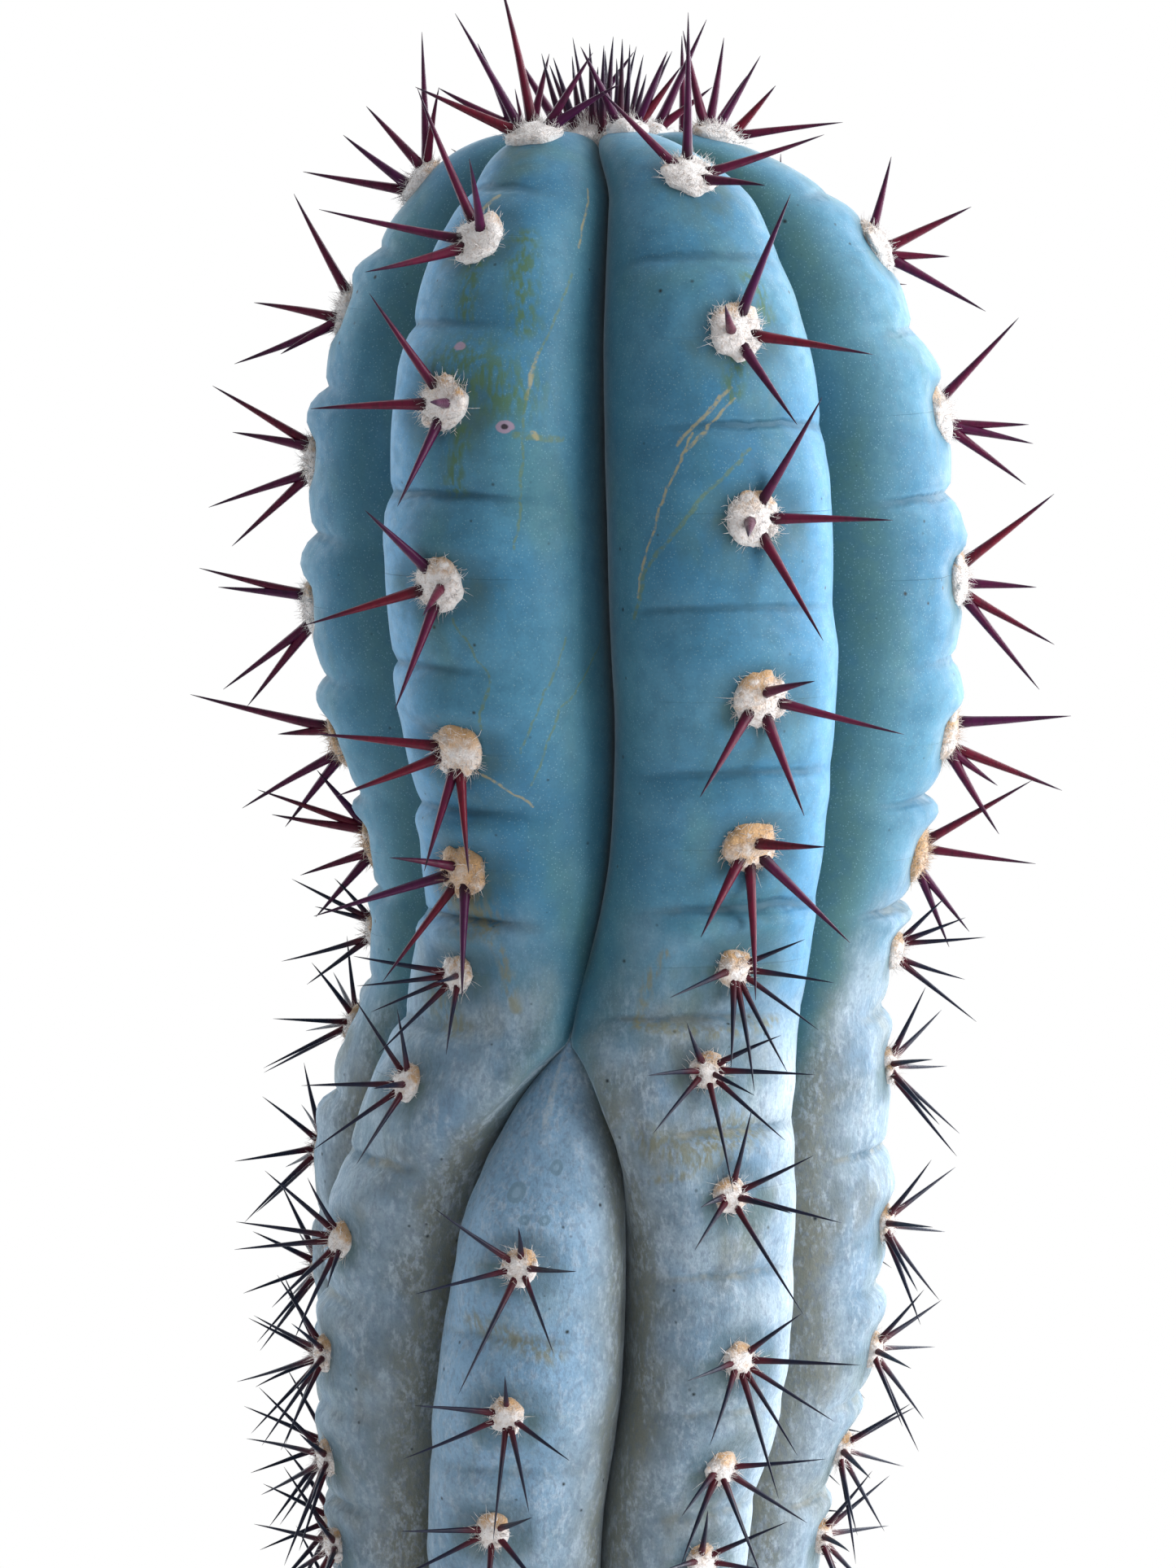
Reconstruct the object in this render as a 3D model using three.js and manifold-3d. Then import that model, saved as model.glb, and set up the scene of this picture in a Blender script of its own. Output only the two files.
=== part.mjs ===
// A tall blue columnar cactus growing in a clay pot.
// Millimetres, +Z up, origin at the middle of the pot's underside, the plant's front towards -Y.

import * as THREE from 'three';
import { mergeVertices } from 'three/addons/utils/BufferGeometryUtils.js';
import Module from 'manifold-3d';

const wasm = await Module();
wasm.setup();

// ---- pot ----
const POT_HEIGHT = 165;
const POT_BASE_RADIUS = 64;
const POT_TOP_RADIUS = 95;
const POT_WALL = 6;
const POT_FLOOR = 9;
const RIM_BAND_HEIGHT = 32;
const RIM_BAND_STEP = 5;
const RIM_INNER_STEP = 1.5;
const EDGE_ROUNDING = 2.4;
const DRAIN_HOLE_RADIUS = 11;
const POT_SEGMENTS = 40;

// ---- soil ----
const SOIL_BELOW_RIM = 15;
const SOIL_MOUND = 2.5;

// ---- stem ----
const STEM_HEIGHT = 450;
const ROOT_DEPTH = 34;
const ROOT_END_SHARE = 0.6;
const DOME_DEPTH = 72;
const DOME_EXPONENT = 2.5;
const RIB_ROUNDNESS = 2.3;
const APEX_HOLLOW = 3;
const APEX_HOLLOW_RADIUS = 9;
const NOTCH_DEPTH = 2;
const NOTCH_EXPONENT = 1.6;
const TURN_START = 100;
const TURN_LENGTH = 85;
const NEW_RIB_DEPTH = 132;
const NEW_RIB_RISE = 34;
const NEW_RIB_SPREAD = 17;
const COLUMNS_PER_RIB = 6;
const DOME_ROWS = 16;
const DOME_ROW_EASE = 1.7;
const ROW_SPACING = 6;
const ROOT_ROWS = 4;

// ---- spine clusters ----
const PAD_RADIUS = 3.9;
const PAD_HEIGHT = 2.2;
const OLD_PAD_SHARE = 0.75;
const PAD_SEGMENTS = 8;
const SEAT_RADIUS = 5.5;
const SPINE_SIDES = 4;
const SPINE_BASE_RADIUS = 0.95;
const YOUNG_SPINE_LENGTH = 15;
const OLD_SPINE_LENGTH = 9.5;
const OLD_SPINE_SHARE = 0.7;
const OLD_FROM_DEPTH = 115;
const CROWN_RISE = 74;
const CROWN_SPREAD = 32;
const CLUSTERS_TO_DEPTH = 226;

// ---- crown tuft ----
const TUFT_RADIUS = 8;
const TUFT_HEIGHT = 3;
const TUFT_SPINE_LENGTH = 16;
const TUFT_RINGS = [{ count: 4, radius: 2, lean: 5 }, { count: 8, radius: 5, lean: 10 }];

// ---- clearance between pieces that touch ----
const GAP = 0.3;

const SOIL_TOP = POT_HEIGHT - SOIL_BELOW_RIM;
const STEM_TOP = SOIL_TOP + STEM_HEIGHT;

// The stem's girth at depths below its tip: [depth, crest radius, valley radius, lean along X].
// It swells and narrows with each year's growth.
const STATIONS = [
  [0, 49.2, 27, -2.5],
  [12, 49.2, 27, 1.2],
  [30, 49.2, 27, 1.5],
  [72, 49.2, 27, 2.8],
  [90, 46.6, 27, 3.8],
  [105, 42.4, 27.5, 4.2],
  [128, 40, 29.3, 1.5],
  [142, 42.6, 29.3, -1],
  [160, 44.3, 28.5, -2.6],
  [180, 44, 27.7, -3.5],
  [206, 39.6, 26.6, -6.5],
  [226, 38, 26, -6.8],
  [270, 43, 27.5, -6],
  [330, 38, 26, -4],
  [390, 42, 28, -2],
  [450, 38, 28, 0],
];

// Each rib's bearing and the bearing of the valley on its far side, in degrees from -Y towards +X,
// near the tip (young) and below the turn (old). Clusters start at `first` and come every `pace`.
const RIBS = [
  { name: 'left', young: -96, old: -106, valleyYoung: -64, valleyOld: -86, first: 0.6, pace: 0.885 },
  { name: 'front_left', young: -35, old: -67, valleyYoung: -7.6, valleyOld: -44, first: 0, pace: 1 },
  { name: 'front_middle', young: -7.6, old: -15, valleyYoung: -7.6, valleyOld: 9, first: 8, pace: 1.2 },
  { name: 'front_right', young: 20.5, old: 29, valleyYoung: 50, valleyOld: 53, first: 0.56, pace: 1.025 },
  { name: 'right', young: 83, old: 76, valleyYoung: 112, valleyOld: 104, first: 0.08, pace: 0.995 },
  { name: 'back_right', young: 142, old: 130, valleyYoung: 172, valleyOld: 159.5, first: 0.3, pace: 1,
    clustersFrom: 130, clustersTo: 160 },
  { name: 'back_left', young: 203, old: 190, valleyYoung: 233, valleyOld: 222, first: 0.7, pace: 1.02,
    clustersFrom: 150, clustersTo: 180 },
];
const NEW_RIB = RIBS.findIndex((rib) => rib.name === 'front_middle');

// Depth of the n-th cluster below the tip: far apart on vigorous growth, close at each waist.
const CLUSTER_DEPTHS = [
  2.1, 17, 40.4, 65.2, 89.2, 106.8, 122, 138.5, 162.5, 181, 196.7, 210.5,
  226, 246, 268, 289, 308, 325, 343, 365, 388, 410, 429, 446, 462,
].map((depth, n) => [n, depth]);

// A smooth curve through rows of [position, value, ...], read at a position
function readCurve(rows, position, column = 1) {
  const last = rows.length - 1;
  if (position <= rows[0][0]) return rows[0][column];
  if (position >= rows[last][0]) return rows[last][column];
  const slope = (i) => (rows[i + 1][column] - rows[i][column]) / (rows[i + 1][0] - rows[i][0]);
  const tangent = (i) => {
    if (i === 0 || i === last || slope(i - 1) * slope(i) <= 0) return 0;
    return (2 * slope(i - 1) * slope(i)) / (slope(i - 1) + slope(i));
  };
  const i = rows.findIndex((row) => row[0] > position) - 1;
  const span = rows[i + 1][0] - rows[i][0];
  const t = (position - rows[i][0]) / span;
  return (2 * t ** 3 - 3 * t ** 2 + 1) * rows[i][column]
    + (t ** 3 - 2 * t ** 2 + t) * span * tangent(i)
    + (3 * t ** 2 - 2 * t ** 3) * rows[i + 1][column]
    + (t ** 3 - t ** 2) * span * tangent(i + 1);
}

const radians = THREE.MathUtils.degToRad;
const { lerp, smoothstep } = THREE.MathUtils;
const crestRadius = (depth) => readCurve(STATIONS, depth, 1);
const valleyRadius = (depth) => readCurve(STATIONS, depth, 2);
const lean = (depth) => readCurve(STATIONS, depth, 3);
const turned = (depth) => smoothstep(depth, TURN_START, TURN_START + TURN_LENGTH);
const parted = (depth) => 1 - Math.exp(-(Math.max(depth - NEW_RIB_DEPTH, 0) / NEW_RIB_SPREAD));

// Bearing of a rib's crest; the new rib's grows out of the valley where it starts
function crestBearing(index, depth) {
  const share = index === NEW_RIB ? parted(depth) : turned(depth);
  return radians(lerp(RIBS[index].young, RIBS[index].old, share));
}

// Bearing of the valley after a rib; the two beside the new rib part where it starts
function valleyBearing(index, depth) {
  const rib = RIBS[(index + RIBS.length) % RIBS.length];
  const besideNewRib = index === NEW_RIB || index === NEW_RIB - 1;
  const bearing = radians(lerp(rib.valleyYoung, rib.valleyOld, besideNewRib ? parted(depth) : turned(depth)));
  return index < 0 ? bearing - 2 * Math.PI : bearing;
}

// Radius of a rib's crest; the new rib rises from the valley floor
function ribRadius(index, depth) {
  if (index !== NEW_RIB) return crestRadius(depth);
  const grown = THREE.MathUtils.clamp((depth - NEW_RIB_DEPTH) / NEW_RIB_RISE, 0, 1);
  return lerp(valleyRadius(depth), crestRadius(depth), Math.sin((grown * Math.PI) / 2));
}

// Depths of all the clusters of a rib
function clusterDepths(rib) {
  const depths = [];
  for (let n = rib.first; n < CLUSTER_DEPTHS.length - 1; n += rib.pace) {
    depths.push(readCurve(CLUSTER_DEPTHS, n));
  }
  return depths;
}

// 0 at a cluster, 1 halfway between two: the crest is notched there
function notch(depths, depth) {
  const next = depths.findIndex((each) => each > depth);
  if (next < 1) return 0;
  const phase = (depth - depths[next - 1]) / (depths[next] - depths[next - 1]);
  return 1 - Math.abs(2 * phase - 1);
}

// One level of the stem: how far its ring is opened by the dome, and its depth at crest and valley
function levelAt(depth) {
  if (depth >= DOME_DEPTH) return { open: 1, crestDepth: depth, valleyDepth: depth };
  const fall = depth / DOME_DEPTH;
  const open = (1 - (1 - fall) ** DOME_EXPONENT) ** (1 / DOME_EXPONENT);
  return { open, crestDepth: depth, valleyDepth: lerp(APEX_HOLLOW + 1, DOME_DEPTH, fall) };
}

// All the levels, from the tip to the end of the root
function stemLevels() {
  const levels = [];
  for (let i = 1; i <= DOME_ROWS; i += 1) {
    levels.push(levelAt(DOME_DEPTH * (i / DOME_ROWS) ** DOME_ROW_EASE));
  }
  const sideRows = Math.round((STEM_HEIGHT - DOME_DEPTH) / ROW_SPACING);
  for (let i = 1; i <= sideRows; i += 1) {
    levels.push(levelAt(lerp(DOME_DEPTH, STEM_HEIGHT, i / sideRows)));
  }
  for (let i = 1; i <= ROOT_ROWS; i += 1) {
    const share = i / ROOT_ROWS;
    const level = levelAt(STEM_HEIGHT + ROOT_DEPTH * share);
    levels.push({ ...level, open: lerp(1, ROOT_END_SHARE, share ** 2) });
  }
  return levels;
}

// A point of the stem's skin. `side` runs from -1 at one valley over 0 at the crest to 1 at the other.
function skinPoint(index, level, side, swell = 0) {
  if (index === NEW_RIB && level.crestDepth <= NEW_RIB_DEPTH) return skinPoint(index - 1, level, 1, swell);
  const across = Math.sin((side * Math.PI) / 2);
  const height = Math.max(1 - Math.abs(across) ** RIB_ROUNDNESS, 0) ** 0.5;
  const crest = crestBearing(index, level.crestDepth);
  const edge = valleyBearing(side < 0 ? index - 1 : index, level.valleyDepth);
  const bearing = lerp(crest, edge, Math.abs(across));
  const low = valleyRadius(level.valleyDepth);
  const high = ribRadius(index, level.crestDepth);
  const notched = NOTCH_DEPTH * notch(clusterDepths(RIBS[index]), level.crestDepth) ** NOTCH_EXPONENT;
  const inGrowth = level.crestDepth < STEM_HEIGHT ? 1 : 0;
  const radius = (lerp(low, high, height) - inGrowth * notched * height ** 2) * level.open + swell;
  const fromApex = (level.open * high) / APEX_HOLLOW_RADIUS;
  const hollow = APEX_HOLLOW * Math.exp(-(fromApex ** 2));
  const depth = lerp(level.valleyDepth, level.crestDepth + hollow, height);
  return new THREE.Vector3(
    lean(depth) + radius * Math.sin(bearing),
    -radius * Math.cos(bearing),
    STEM_TOP - depth,
  );
}

// A geometry whose repeated vertices are merged and whose flattened triangles are gone
function cleanGeometry(geometry) {
  const bare = new THREE.BufferGeometry();
  bare.setAttribute('position', geometry.getAttribute('position').clone());
  if (geometry.index) bare.setIndex(geometry.index.clone());
  const merged = mergeVertices(bare, 1e-4);
  const from = merged.index.array;
  const kept = [];
  for (let i = 0; i < from.length; i += 3) {
    const [a, b, c] = [from[i], from[i + 1], from[i + 2]];
    if (a !== b && b !== c && c !== a) kept.push(a, b, c);
  }
  merged.setIndex(kept);
  return merged;
}

function toSolid(geometry) {
  const clean = cleanGeometry(geometry);
  const vertProperties = Float32Array.from(clean.getAttribute('position').array);
  const triVerts = Uint32Array.from(clean.index.array);
  return new wasm.Manifold(new wasm.Mesh({ numProp: 3, vertProperties, triVerts }));
}

function toGeometry(solid) {
  const mesh = solid.getMesh();
  const geometry = new THREE.BufferGeometry();
  geometry.setAttribute('position', new THREE.BufferAttribute(Float32Array.from(mesh.vertProperties), 3));
  geometry.setIndex(new THREE.BufferAttribute(Uint32Array.from(mesh.triVerts), 1));
  geometry.computeVertexNormals();
  return geometry;
}

// The stem's closed skin from level `start` down, pushed out by `swell`
function stemGeometry(levels, swell = 0) {
  const positions = [];
  const indices = [];
  const columns = RIBS.length * COLUMNS_PER_RIB;
  for (const level of levels) {
    for (let column = 0; column < columns; column += 1) {
      const index = Math.floor(column / COLUMNS_PER_RIB);
      const side = -1 + (2 * (column % COLUMNS_PER_RIB)) / COLUMNS_PER_RIB;
      positions.push(...skinPoint(index, level, side, swell).toArray());
    }
  }
  const at = (row, column) => row * columns + (column % columns);
  for (let row = 0; row < levels.length - 1; row += 1) {
    for (let column = 0; column < columns; column += 1) {
      indices.push(at(row, column), at(row + 1, column), at(row + 1, column + 1));
      indices.push(at(row, column), at(row + 1, column + 1), at(row, column + 1));
    }
  }
  capRing(positions, indices, at, 0, columns, false);
  capRing(positions, indices, at, levels.length - 1, columns, true);
  const geometry = new THREE.BufferGeometry();
  geometry.setAttribute('position', new THREE.Float32BufferAttribute(positions, 3));
  geometry.setIndex(indices);
  return cleanGeometry(geometry);
}

// Closes a ring of vertices with a fan to its middle
function capRing(positions, indices, at, row, columns, facesDown) {
  const middle = new THREE.Vector3();
  for (let column = 0; column < columns; column += 1) {
    middle.add(new THREE.Vector3().fromArray(positions, 3 * at(row, column)));
  }
  middle.divideScalar(columns);
  const centre = positions.length / 3;
  positions.push(...middle.toArray());
  for (let column = 0; column < columns; column += 1) {
    const pair = [at(row, column), at(row, column + 1)];
    if (facesDown) pair.reverse();
    indices.push(centre, ...pair);
  }
}

// A lathe around Z through [radius, height] points, anticlockwise around the section
function turnedGeometry(points, segments) {
  const profile = points.map(([radius, height]) => new THREE.Vector2(radius, height));
  return new THREE.LatheGeometry(profile, segments).rotateX(Math.PI / 2);
}

// Radius of the pot's inner face at a height
function potInnerRadius(height) {
  const top = POT_TOP_RADIUS - RIM_BAND_STEP - POT_WALL;
  return lerp(POT_BASE_RADIUS - POT_WALL, top, height / POT_HEIGHT);
}

function potGeometry() {
  const bandFoot = POT_HEIGHT - RIM_BAND_HEIGHT;
  const bodyTop = potInnerRadius(bandFoot) + POT_WALL;
  const mouth = potInnerRadius(POT_HEIGHT) + RIM_INNER_STEP;
  const r = EDGE_ROUNDING;
  return turnedGeometry([
    [DRAIN_HOLE_RADIUS, 0],
    [POT_BASE_RADIUS - r, 0],
    [POT_BASE_RADIUS, r],
    [bodyTop, bandFoot],
    [POT_TOP_RADIUS - 2 * r, bandFoot],
    [POT_TOP_RADIUS - r, bandFoot + r],
    [POT_TOP_RADIUS, POT_HEIGHT - 1.5 * r],
    [POT_TOP_RADIUS - 0.6 * r, POT_HEIGHT - 0.3 * r],
    [POT_TOP_RADIUS - 1.5 * r, POT_HEIGHT],
    [mouth + 1.2 * r, POT_HEIGHT],
    [mouth + 0.3 * r, POT_HEIGHT - 0.5 * r],
    [mouth, POT_HEIGHT - 1.5 * r],
    [potInnerRadius(POT_FLOOR), POT_FLOOR],
    [DRAIN_HOLE_RADIUS, POT_FLOOR],
    [DRAIN_HOLE_RADIUS, 0],
  ], POT_SEGMENTS);
}

// The soil fills the pot from its floor, with a socket for the buried end of the stem
function soilGeometry(levels) {
  const innerRadius = (height) => {
    const floor = potInnerRadius(POT_FLOOR);
    const mouth = potInnerRadius(POT_HEIGHT) + RIM_INNER_STEP;
    const mouthHeight = POT_HEIGHT - 1.5 * EDGE_ROUNDING;
    return lerp(floor, mouth, (height - POT_FLOOR) / (mouthHeight - POT_FLOOR));
  };
  const side = 2 * GAP;
  const bottom = POT_FLOOR + GAP;
  const edge = SOIL_TOP - SOIL_MOUND;
  const block = toSolid(turnedGeometry([
    [0, bottom],
    [innerRadius(bottom) - side, bottom],
    [innerRadius(edge) - side, edge],
    [lerp(crestRadius(STEM_HEIGHT), innerRadius(edge), 0.5), SOIL_TOP - 0.4 * SOIL_MOUND],
    [crestRadius(STEM_HEIGHT) * 0.5, SOIL_TOP],
    [0, SOIL_TOP],
  ], POT_SEGMENTS));
  const buried = levels.filter((level) => level.crestDepth > STEM_HEIGHT - 2 * ROW_SPACING);
  const swollen = buried.map((level, i) => {
    const deeper = i === buried.length - 1 ? GAP : 0;
    return { ...level, crestDepth: level.crestDepth + deeper, valleyDepth: level.valleyDepth + deeper };
  });
  return toGeometry(block.subtract(toSolid(stemGeometry(swollen, 1.5 * GAP))));
}

// A number from -1 to 1 that looks random but is always the same for the same seed
function wobble(seed) {
  const wave = Math.sin(seed * 12.9898 + 4.1414) * 437.585;
  return 2 * (wave - Math.floor(wave)) - 1;
}

function spineSolid(base, direction, length, radius) {
  const cone = new THREE.ConeGeometry(radius, length, SPINE_SIDES, 1);
  cone.translate(0, length / 2, 0);
  cone.applyQuaternion(new THREE.Quaternion().setFromUnitVectors(new THREE.Vector3(0, 1, 0), direction));
  cone.translate(base.x, base.y, base.z);
  return toSolid(cone);
}

// A felt pad with its spines, its foot on the XY plane, +Z outwards and +Y towards the tip
function clusterGeometry(seed, depth) {
  const old = depth > OLD_FROM_DEPTH;
  const radius = PAD_RADIUS * (old ? OLD_PAD_SHARE : 1);
  let solid = toSolid(turnedGeometry([
    [0, 0],
    [radius, 0],
    [0.72 * radius, 0.7 * PAD_HEIGHT],
    [0, PAD_HEIGHT],
  ], PAD_SEGMENTS));
  const clock = old ? [-14, 62, 118, 180, 236, 300] : [14, 100, 172, 248];
  const rise = old ? [48, 34, 40, 34, 40, 34] : [50, 34, 30, 36];
  const spread = smoothstep(depth, 0, CROWN_SPREAD);
  const base = new THREE.Vector3(0, 0, 0.35 * PAD_HEIGHT);
  clock.forEach((degrees, i) => {
    const turn = radians(degrees + 9 * wobble(seed + 3 * i));
    const up = radians(lerp(CROWN_RISE, rise[i], spread) + 6 * wobble(seed + 5 * i + 1));
    const direction = new THREE.Vector3(
      Math.sin(turn) * Math.cos(up),
      Math.cos(turn) * Math.cos(up),
      Math.sin(up),
    );
    const length = (old ? OLD_SPINE_LENGTH : YOUNG_SPINE_LENGTH) * (1 + 0.12 * wobble(seed + 7 * i + 2));
    const thick = SPINE_BASE_RADIUS * (old ? OLD_SPINE_SHARE : 1);
    solid = solid.add(spineSolid(base, direction, length, thick));
  });
  return toGeometry(solid);
}

// The woolly tip: a pad with rings of upright spines
function tuftGeometry() {
  let solid = toSolid(turnedGeometry([
    [0, 0],
    [TUFT_RADIUS, 0],
    [0.75 * TUFT_RADIUS, 0.7 * TUFT_HEIGHT],
    [0, TUFT_HEIGHT],
  ], PAD_SEGMENTS + 4));
  TUFT_RINGS.forEach(({ count, radius, lean: tilt }, ring) => {
    for (let i = 0; i < count; i += 1) {
      const seed = 31 * ring + i;
      const turn = (2 * Math.PI * (i + 0.5 * ring)) / count;
      const away = radians(tilt + 3 * wobble(seed));
      const base = new THREE.Vector3(radius * Math.sin(turn), radius * Math.cos(turn), 0.3 * TUFT_HEIGHT);
      const direction = new THREE.Vector3(
        Math.sin(turn) * Math.sin(away),
        Math.cos(turn) * Math.sin(away),
        Math.cos(away),
      );
      const length = TUFT_SPINE_LENGTH * (1 + 0.12 * wobble(seed + 9));
      solid = solid.add(spineSolid(base, direction, length, 0.8 * SPINE_BASE_RADIUS));
    }
  });
  return toGeometry(solid);
}

// Where a cluster sits on a crest: its middle, and its axes across, along and out of the skin
function seatOnCrest(index, depth) {
  const middle = skinPoint(index, levelAt(depth), 0);
  const above = skinPoint(index, levelAt(Math.max(depth - 3, 0)), 0);
  const below = skinPoint(index, levelAt(depth + 3), 0);
  const along = above.sub(below).normalize();
  const bearing = crestBearing(index, depth);
  const across = new THREE.Vector3(Math.cos(bearing), Math.sin(bearing), 0);
  const out = new THREE.Vector3().crossVectors(across, along).normalize();
  return { middle, axes: new THREE.Matrix4().makeBasis(across, along, out), out };
}

// How far a flat foot is lifted to clear the stem's facets within a radius of a point
function liftAbove(stemVertices, middle, out, radius) {
  let lift = -radius;
  const offset = new THREE.Vector3();
  for (let i = 0; i < stemVertices.count; i += 1) {
    offset.fromBufferAttribute(stemVertices, i).sub(middle);
    const height = offset.dot(out);
    const apart = Math.sqrt(Math.max(offset.lengthSq() - height ** 2, 0));
    if (apart < radius && height > lift) lift = height;
  }
  return lift + GAP;
}

function addPiece(group, name, geometry, colour, roughness) {
  const material = new THREE.MeshStandardMaterial({ color: colour, roughness, metalness: 0 });
  const mesh = new THREE.Mesh(geometry, material);
  mesh.name = name;
  group.add(mesh);
  return mesh;
}

const cactus = new THREE.Group();
const levels = stemLevels();
const stem = stemGeometry(levels);
const stemVertices = stem.getAttribute('position');

addPiece(cactus, 'pot', potGeometry(), 0xb06a45, 0.85);
addPiece(cactus, 'soil', soilGeometry(levels), 0x4b3a2c, 0.95);
addPiece(cactus, 'stem', stem, 0x6d9db3, 0.65);

const apex = new THREE.Vector3(lean(0), 0, STEM_TOP - APEX_HOLLOW);
const upright = new THREE.Vector3(0, 0, 1);
const tuft = addPiece(cactus, 'crown_tuft', tuftGeometry(), 0x4a2233, 0.5);
tuft.position.copy(apex).addScaledVector(upright, liftAbove(stemVertices, apex, upright, 1.5 * TUFT_RADIUS));

RIBS.forEach((rib, index) => {
  const from = rib.clustersFrom ?? 0;
  const to = rib.clustersTo ?? CLUSTERS_TO_DEPTH;
  const depths = clusterDepths(rib).filter((depth) => depth > from && depth < to);
  depths.forEach((depth, i) => {
    const name = `spines_${rib.name}_${String(i + 1).padStart(2, '0')}`;
    const seat = seatOnCrest(index, depth);
    const lift = liftAbove(stemVertices, seat.middle, seat.out, SEAT_RADIUS);
    const mesh = addPiece(cactus, name, clusterGeometry(100 * index + 11 * i, depth), 0x5c2637, 0.5);
    mesh.quaternion.setFromRotationMatrix(seat.axes);
    mesh.position.copy(seat.middle).addScaledVector(seat.out, lift);
  });
});

export default cactus;
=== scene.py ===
"""A tall blue columnar cactus in a clay pot: the looks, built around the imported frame.

The plant's front faces -Y. Shapes are worked out in millimetres, and MM turns them into metres.
"""
import math

import bpy
import numpy as np
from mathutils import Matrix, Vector, noise


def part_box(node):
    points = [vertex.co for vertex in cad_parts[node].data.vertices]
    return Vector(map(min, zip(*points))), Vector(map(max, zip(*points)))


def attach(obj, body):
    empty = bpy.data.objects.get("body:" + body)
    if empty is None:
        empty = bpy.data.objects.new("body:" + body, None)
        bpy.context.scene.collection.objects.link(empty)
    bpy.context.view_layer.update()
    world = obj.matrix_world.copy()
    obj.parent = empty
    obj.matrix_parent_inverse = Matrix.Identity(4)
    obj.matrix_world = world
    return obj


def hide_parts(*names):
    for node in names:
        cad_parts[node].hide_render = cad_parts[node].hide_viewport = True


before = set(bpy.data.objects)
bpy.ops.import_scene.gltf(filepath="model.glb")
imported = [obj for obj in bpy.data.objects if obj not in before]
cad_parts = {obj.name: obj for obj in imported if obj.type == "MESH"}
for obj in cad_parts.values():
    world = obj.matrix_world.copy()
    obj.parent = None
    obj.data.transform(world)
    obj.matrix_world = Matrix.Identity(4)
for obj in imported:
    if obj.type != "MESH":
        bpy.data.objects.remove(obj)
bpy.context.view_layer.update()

MM = 0.001
AREOLE_SEED = 300
CROWN_SEED = 900
STONE_SEED = 77

# ---- pot and soil, mm; the outer sizes come from the frame ----
POT_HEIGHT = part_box("pot")[1][2] / MM
POT_TOP_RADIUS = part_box("pot")[1][0] / MM
POT_BASE_RADIUS = 64
POT_WALL = 6
POT_FLOOR = 9
RIM_BAND_HEIGHT = 32
RIM_BAND_STEP = 5
RIM_INNER_STEP = 1.5
EDGE_ROUNDING = 2.4
DRAIN_HOLE_RADIUS = 11
SOIL_BELOW_RIM = 15
SOIL_MOUND = 2.5
SOIL_TOP = POT_HEIGHT - SOIL_BELOW_RIM
SOIL_SOCKET_RADIUS = 26
STONES = 2600

# ---- stem, mm ----
STEM_HEIGHT = 450
STEM_TOP = SOIL_TOP + STEM_HEIGHT
ROOT_DEPTH = 34
ROOT_END_SHARE = 0.6
DOME_DEPTH = 72
DOME_EXPONENT = 2.5
RIB_ROUNDNESS = 2.3
APEX_HOLLOW = 3
APEX_HOLLOW_RADIUS = 9
NOTCH_DEPTH = 1.4
NOTCH_EXPONENT = 1.6
TURN_START = 100
TURN_LENGTH = 85
NEW_RIB_DEPTH = 132
NEW_RIB_RISE = 34
NEW_RIB_SPREAD = 17
NEW_RIB_START = -13.5
CREASE_SPREAD = {"front_left": 20, "front_middle": 11}
COLUMNS_PER_RIB = 40
HALF_RIB = 22
DOME_ROWS = 72
DOME_ROW_EASE = 1.7
FINE_TO_DEPTH = 222
FINE_STEP = 0.9
COARSE_STEP = 2.4

# The stem's girth at depths below its tip: depth, crest radius, valley radius, lean along X
STATIONS = np.array([
    (0, 49.2, 27, -2.5),
    (12, 49.2, 27, 1.2),
    (30, 49.2, 27, 1.5),
    (72, 49.2, 27, 2.8),
    (90, 46.6, 27, 3.8),
    (105, 42.4, 27.5, 4.2),
    (128, 40, 29.3, 1.5),
    (142, 42.6, 29.3, -1),
    (160, 44.3, 28.5, -2.6),
    (180, 44, 27.7, -3.5),
    (206, 39.6, 26.6, -6.5),
    (226, 38, 26, -6.8),
    (270, 43, 27.5, -6),
    (330, 38, 26, -4),
    (390, 42, 28, -2),
    (450, 38, 28, 0),
])

# Depth of the n-th areole below the tip
AREOLE_DEPTHS = np.array([
    2.1, 17, 40.4, 65.2, 89.2, 106.8, 122, 138.5, 162.5, 181, 196.7, 210.5,
    226, 246, 268, 289, 308, 325, 343, 365, 388, 410, 429, 446, 462,
])
AREOLES_TO_DEPTH = 440
# Areoles that replace a node of the frame lie between these depths
NAMED_DEPTHS = (0, 226)
NAMED_DEPTHS_AT_BACK = {"back_right": (130, 160), "back_left": (150, 180)}
FOLD_SHIFT = {"front_left": -0.2, "left": -0.1}

# Where crests wander sideways: degrees, and the depth and width of the bulge. Areoles that sit off
# the regular spacing: number from the tip and mm further down.
SWAYS = {"front_left": [(-4.5, 104, 9), (3, 150, 22)], "front_middle": [(-2.5, 208, 26)],
         "front_right": [(-6, 138, 12)]}
NUDGES = {"front_right": {4: 1.5, 5: 3.2, 6: 2, 7: -3.5}}

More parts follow.
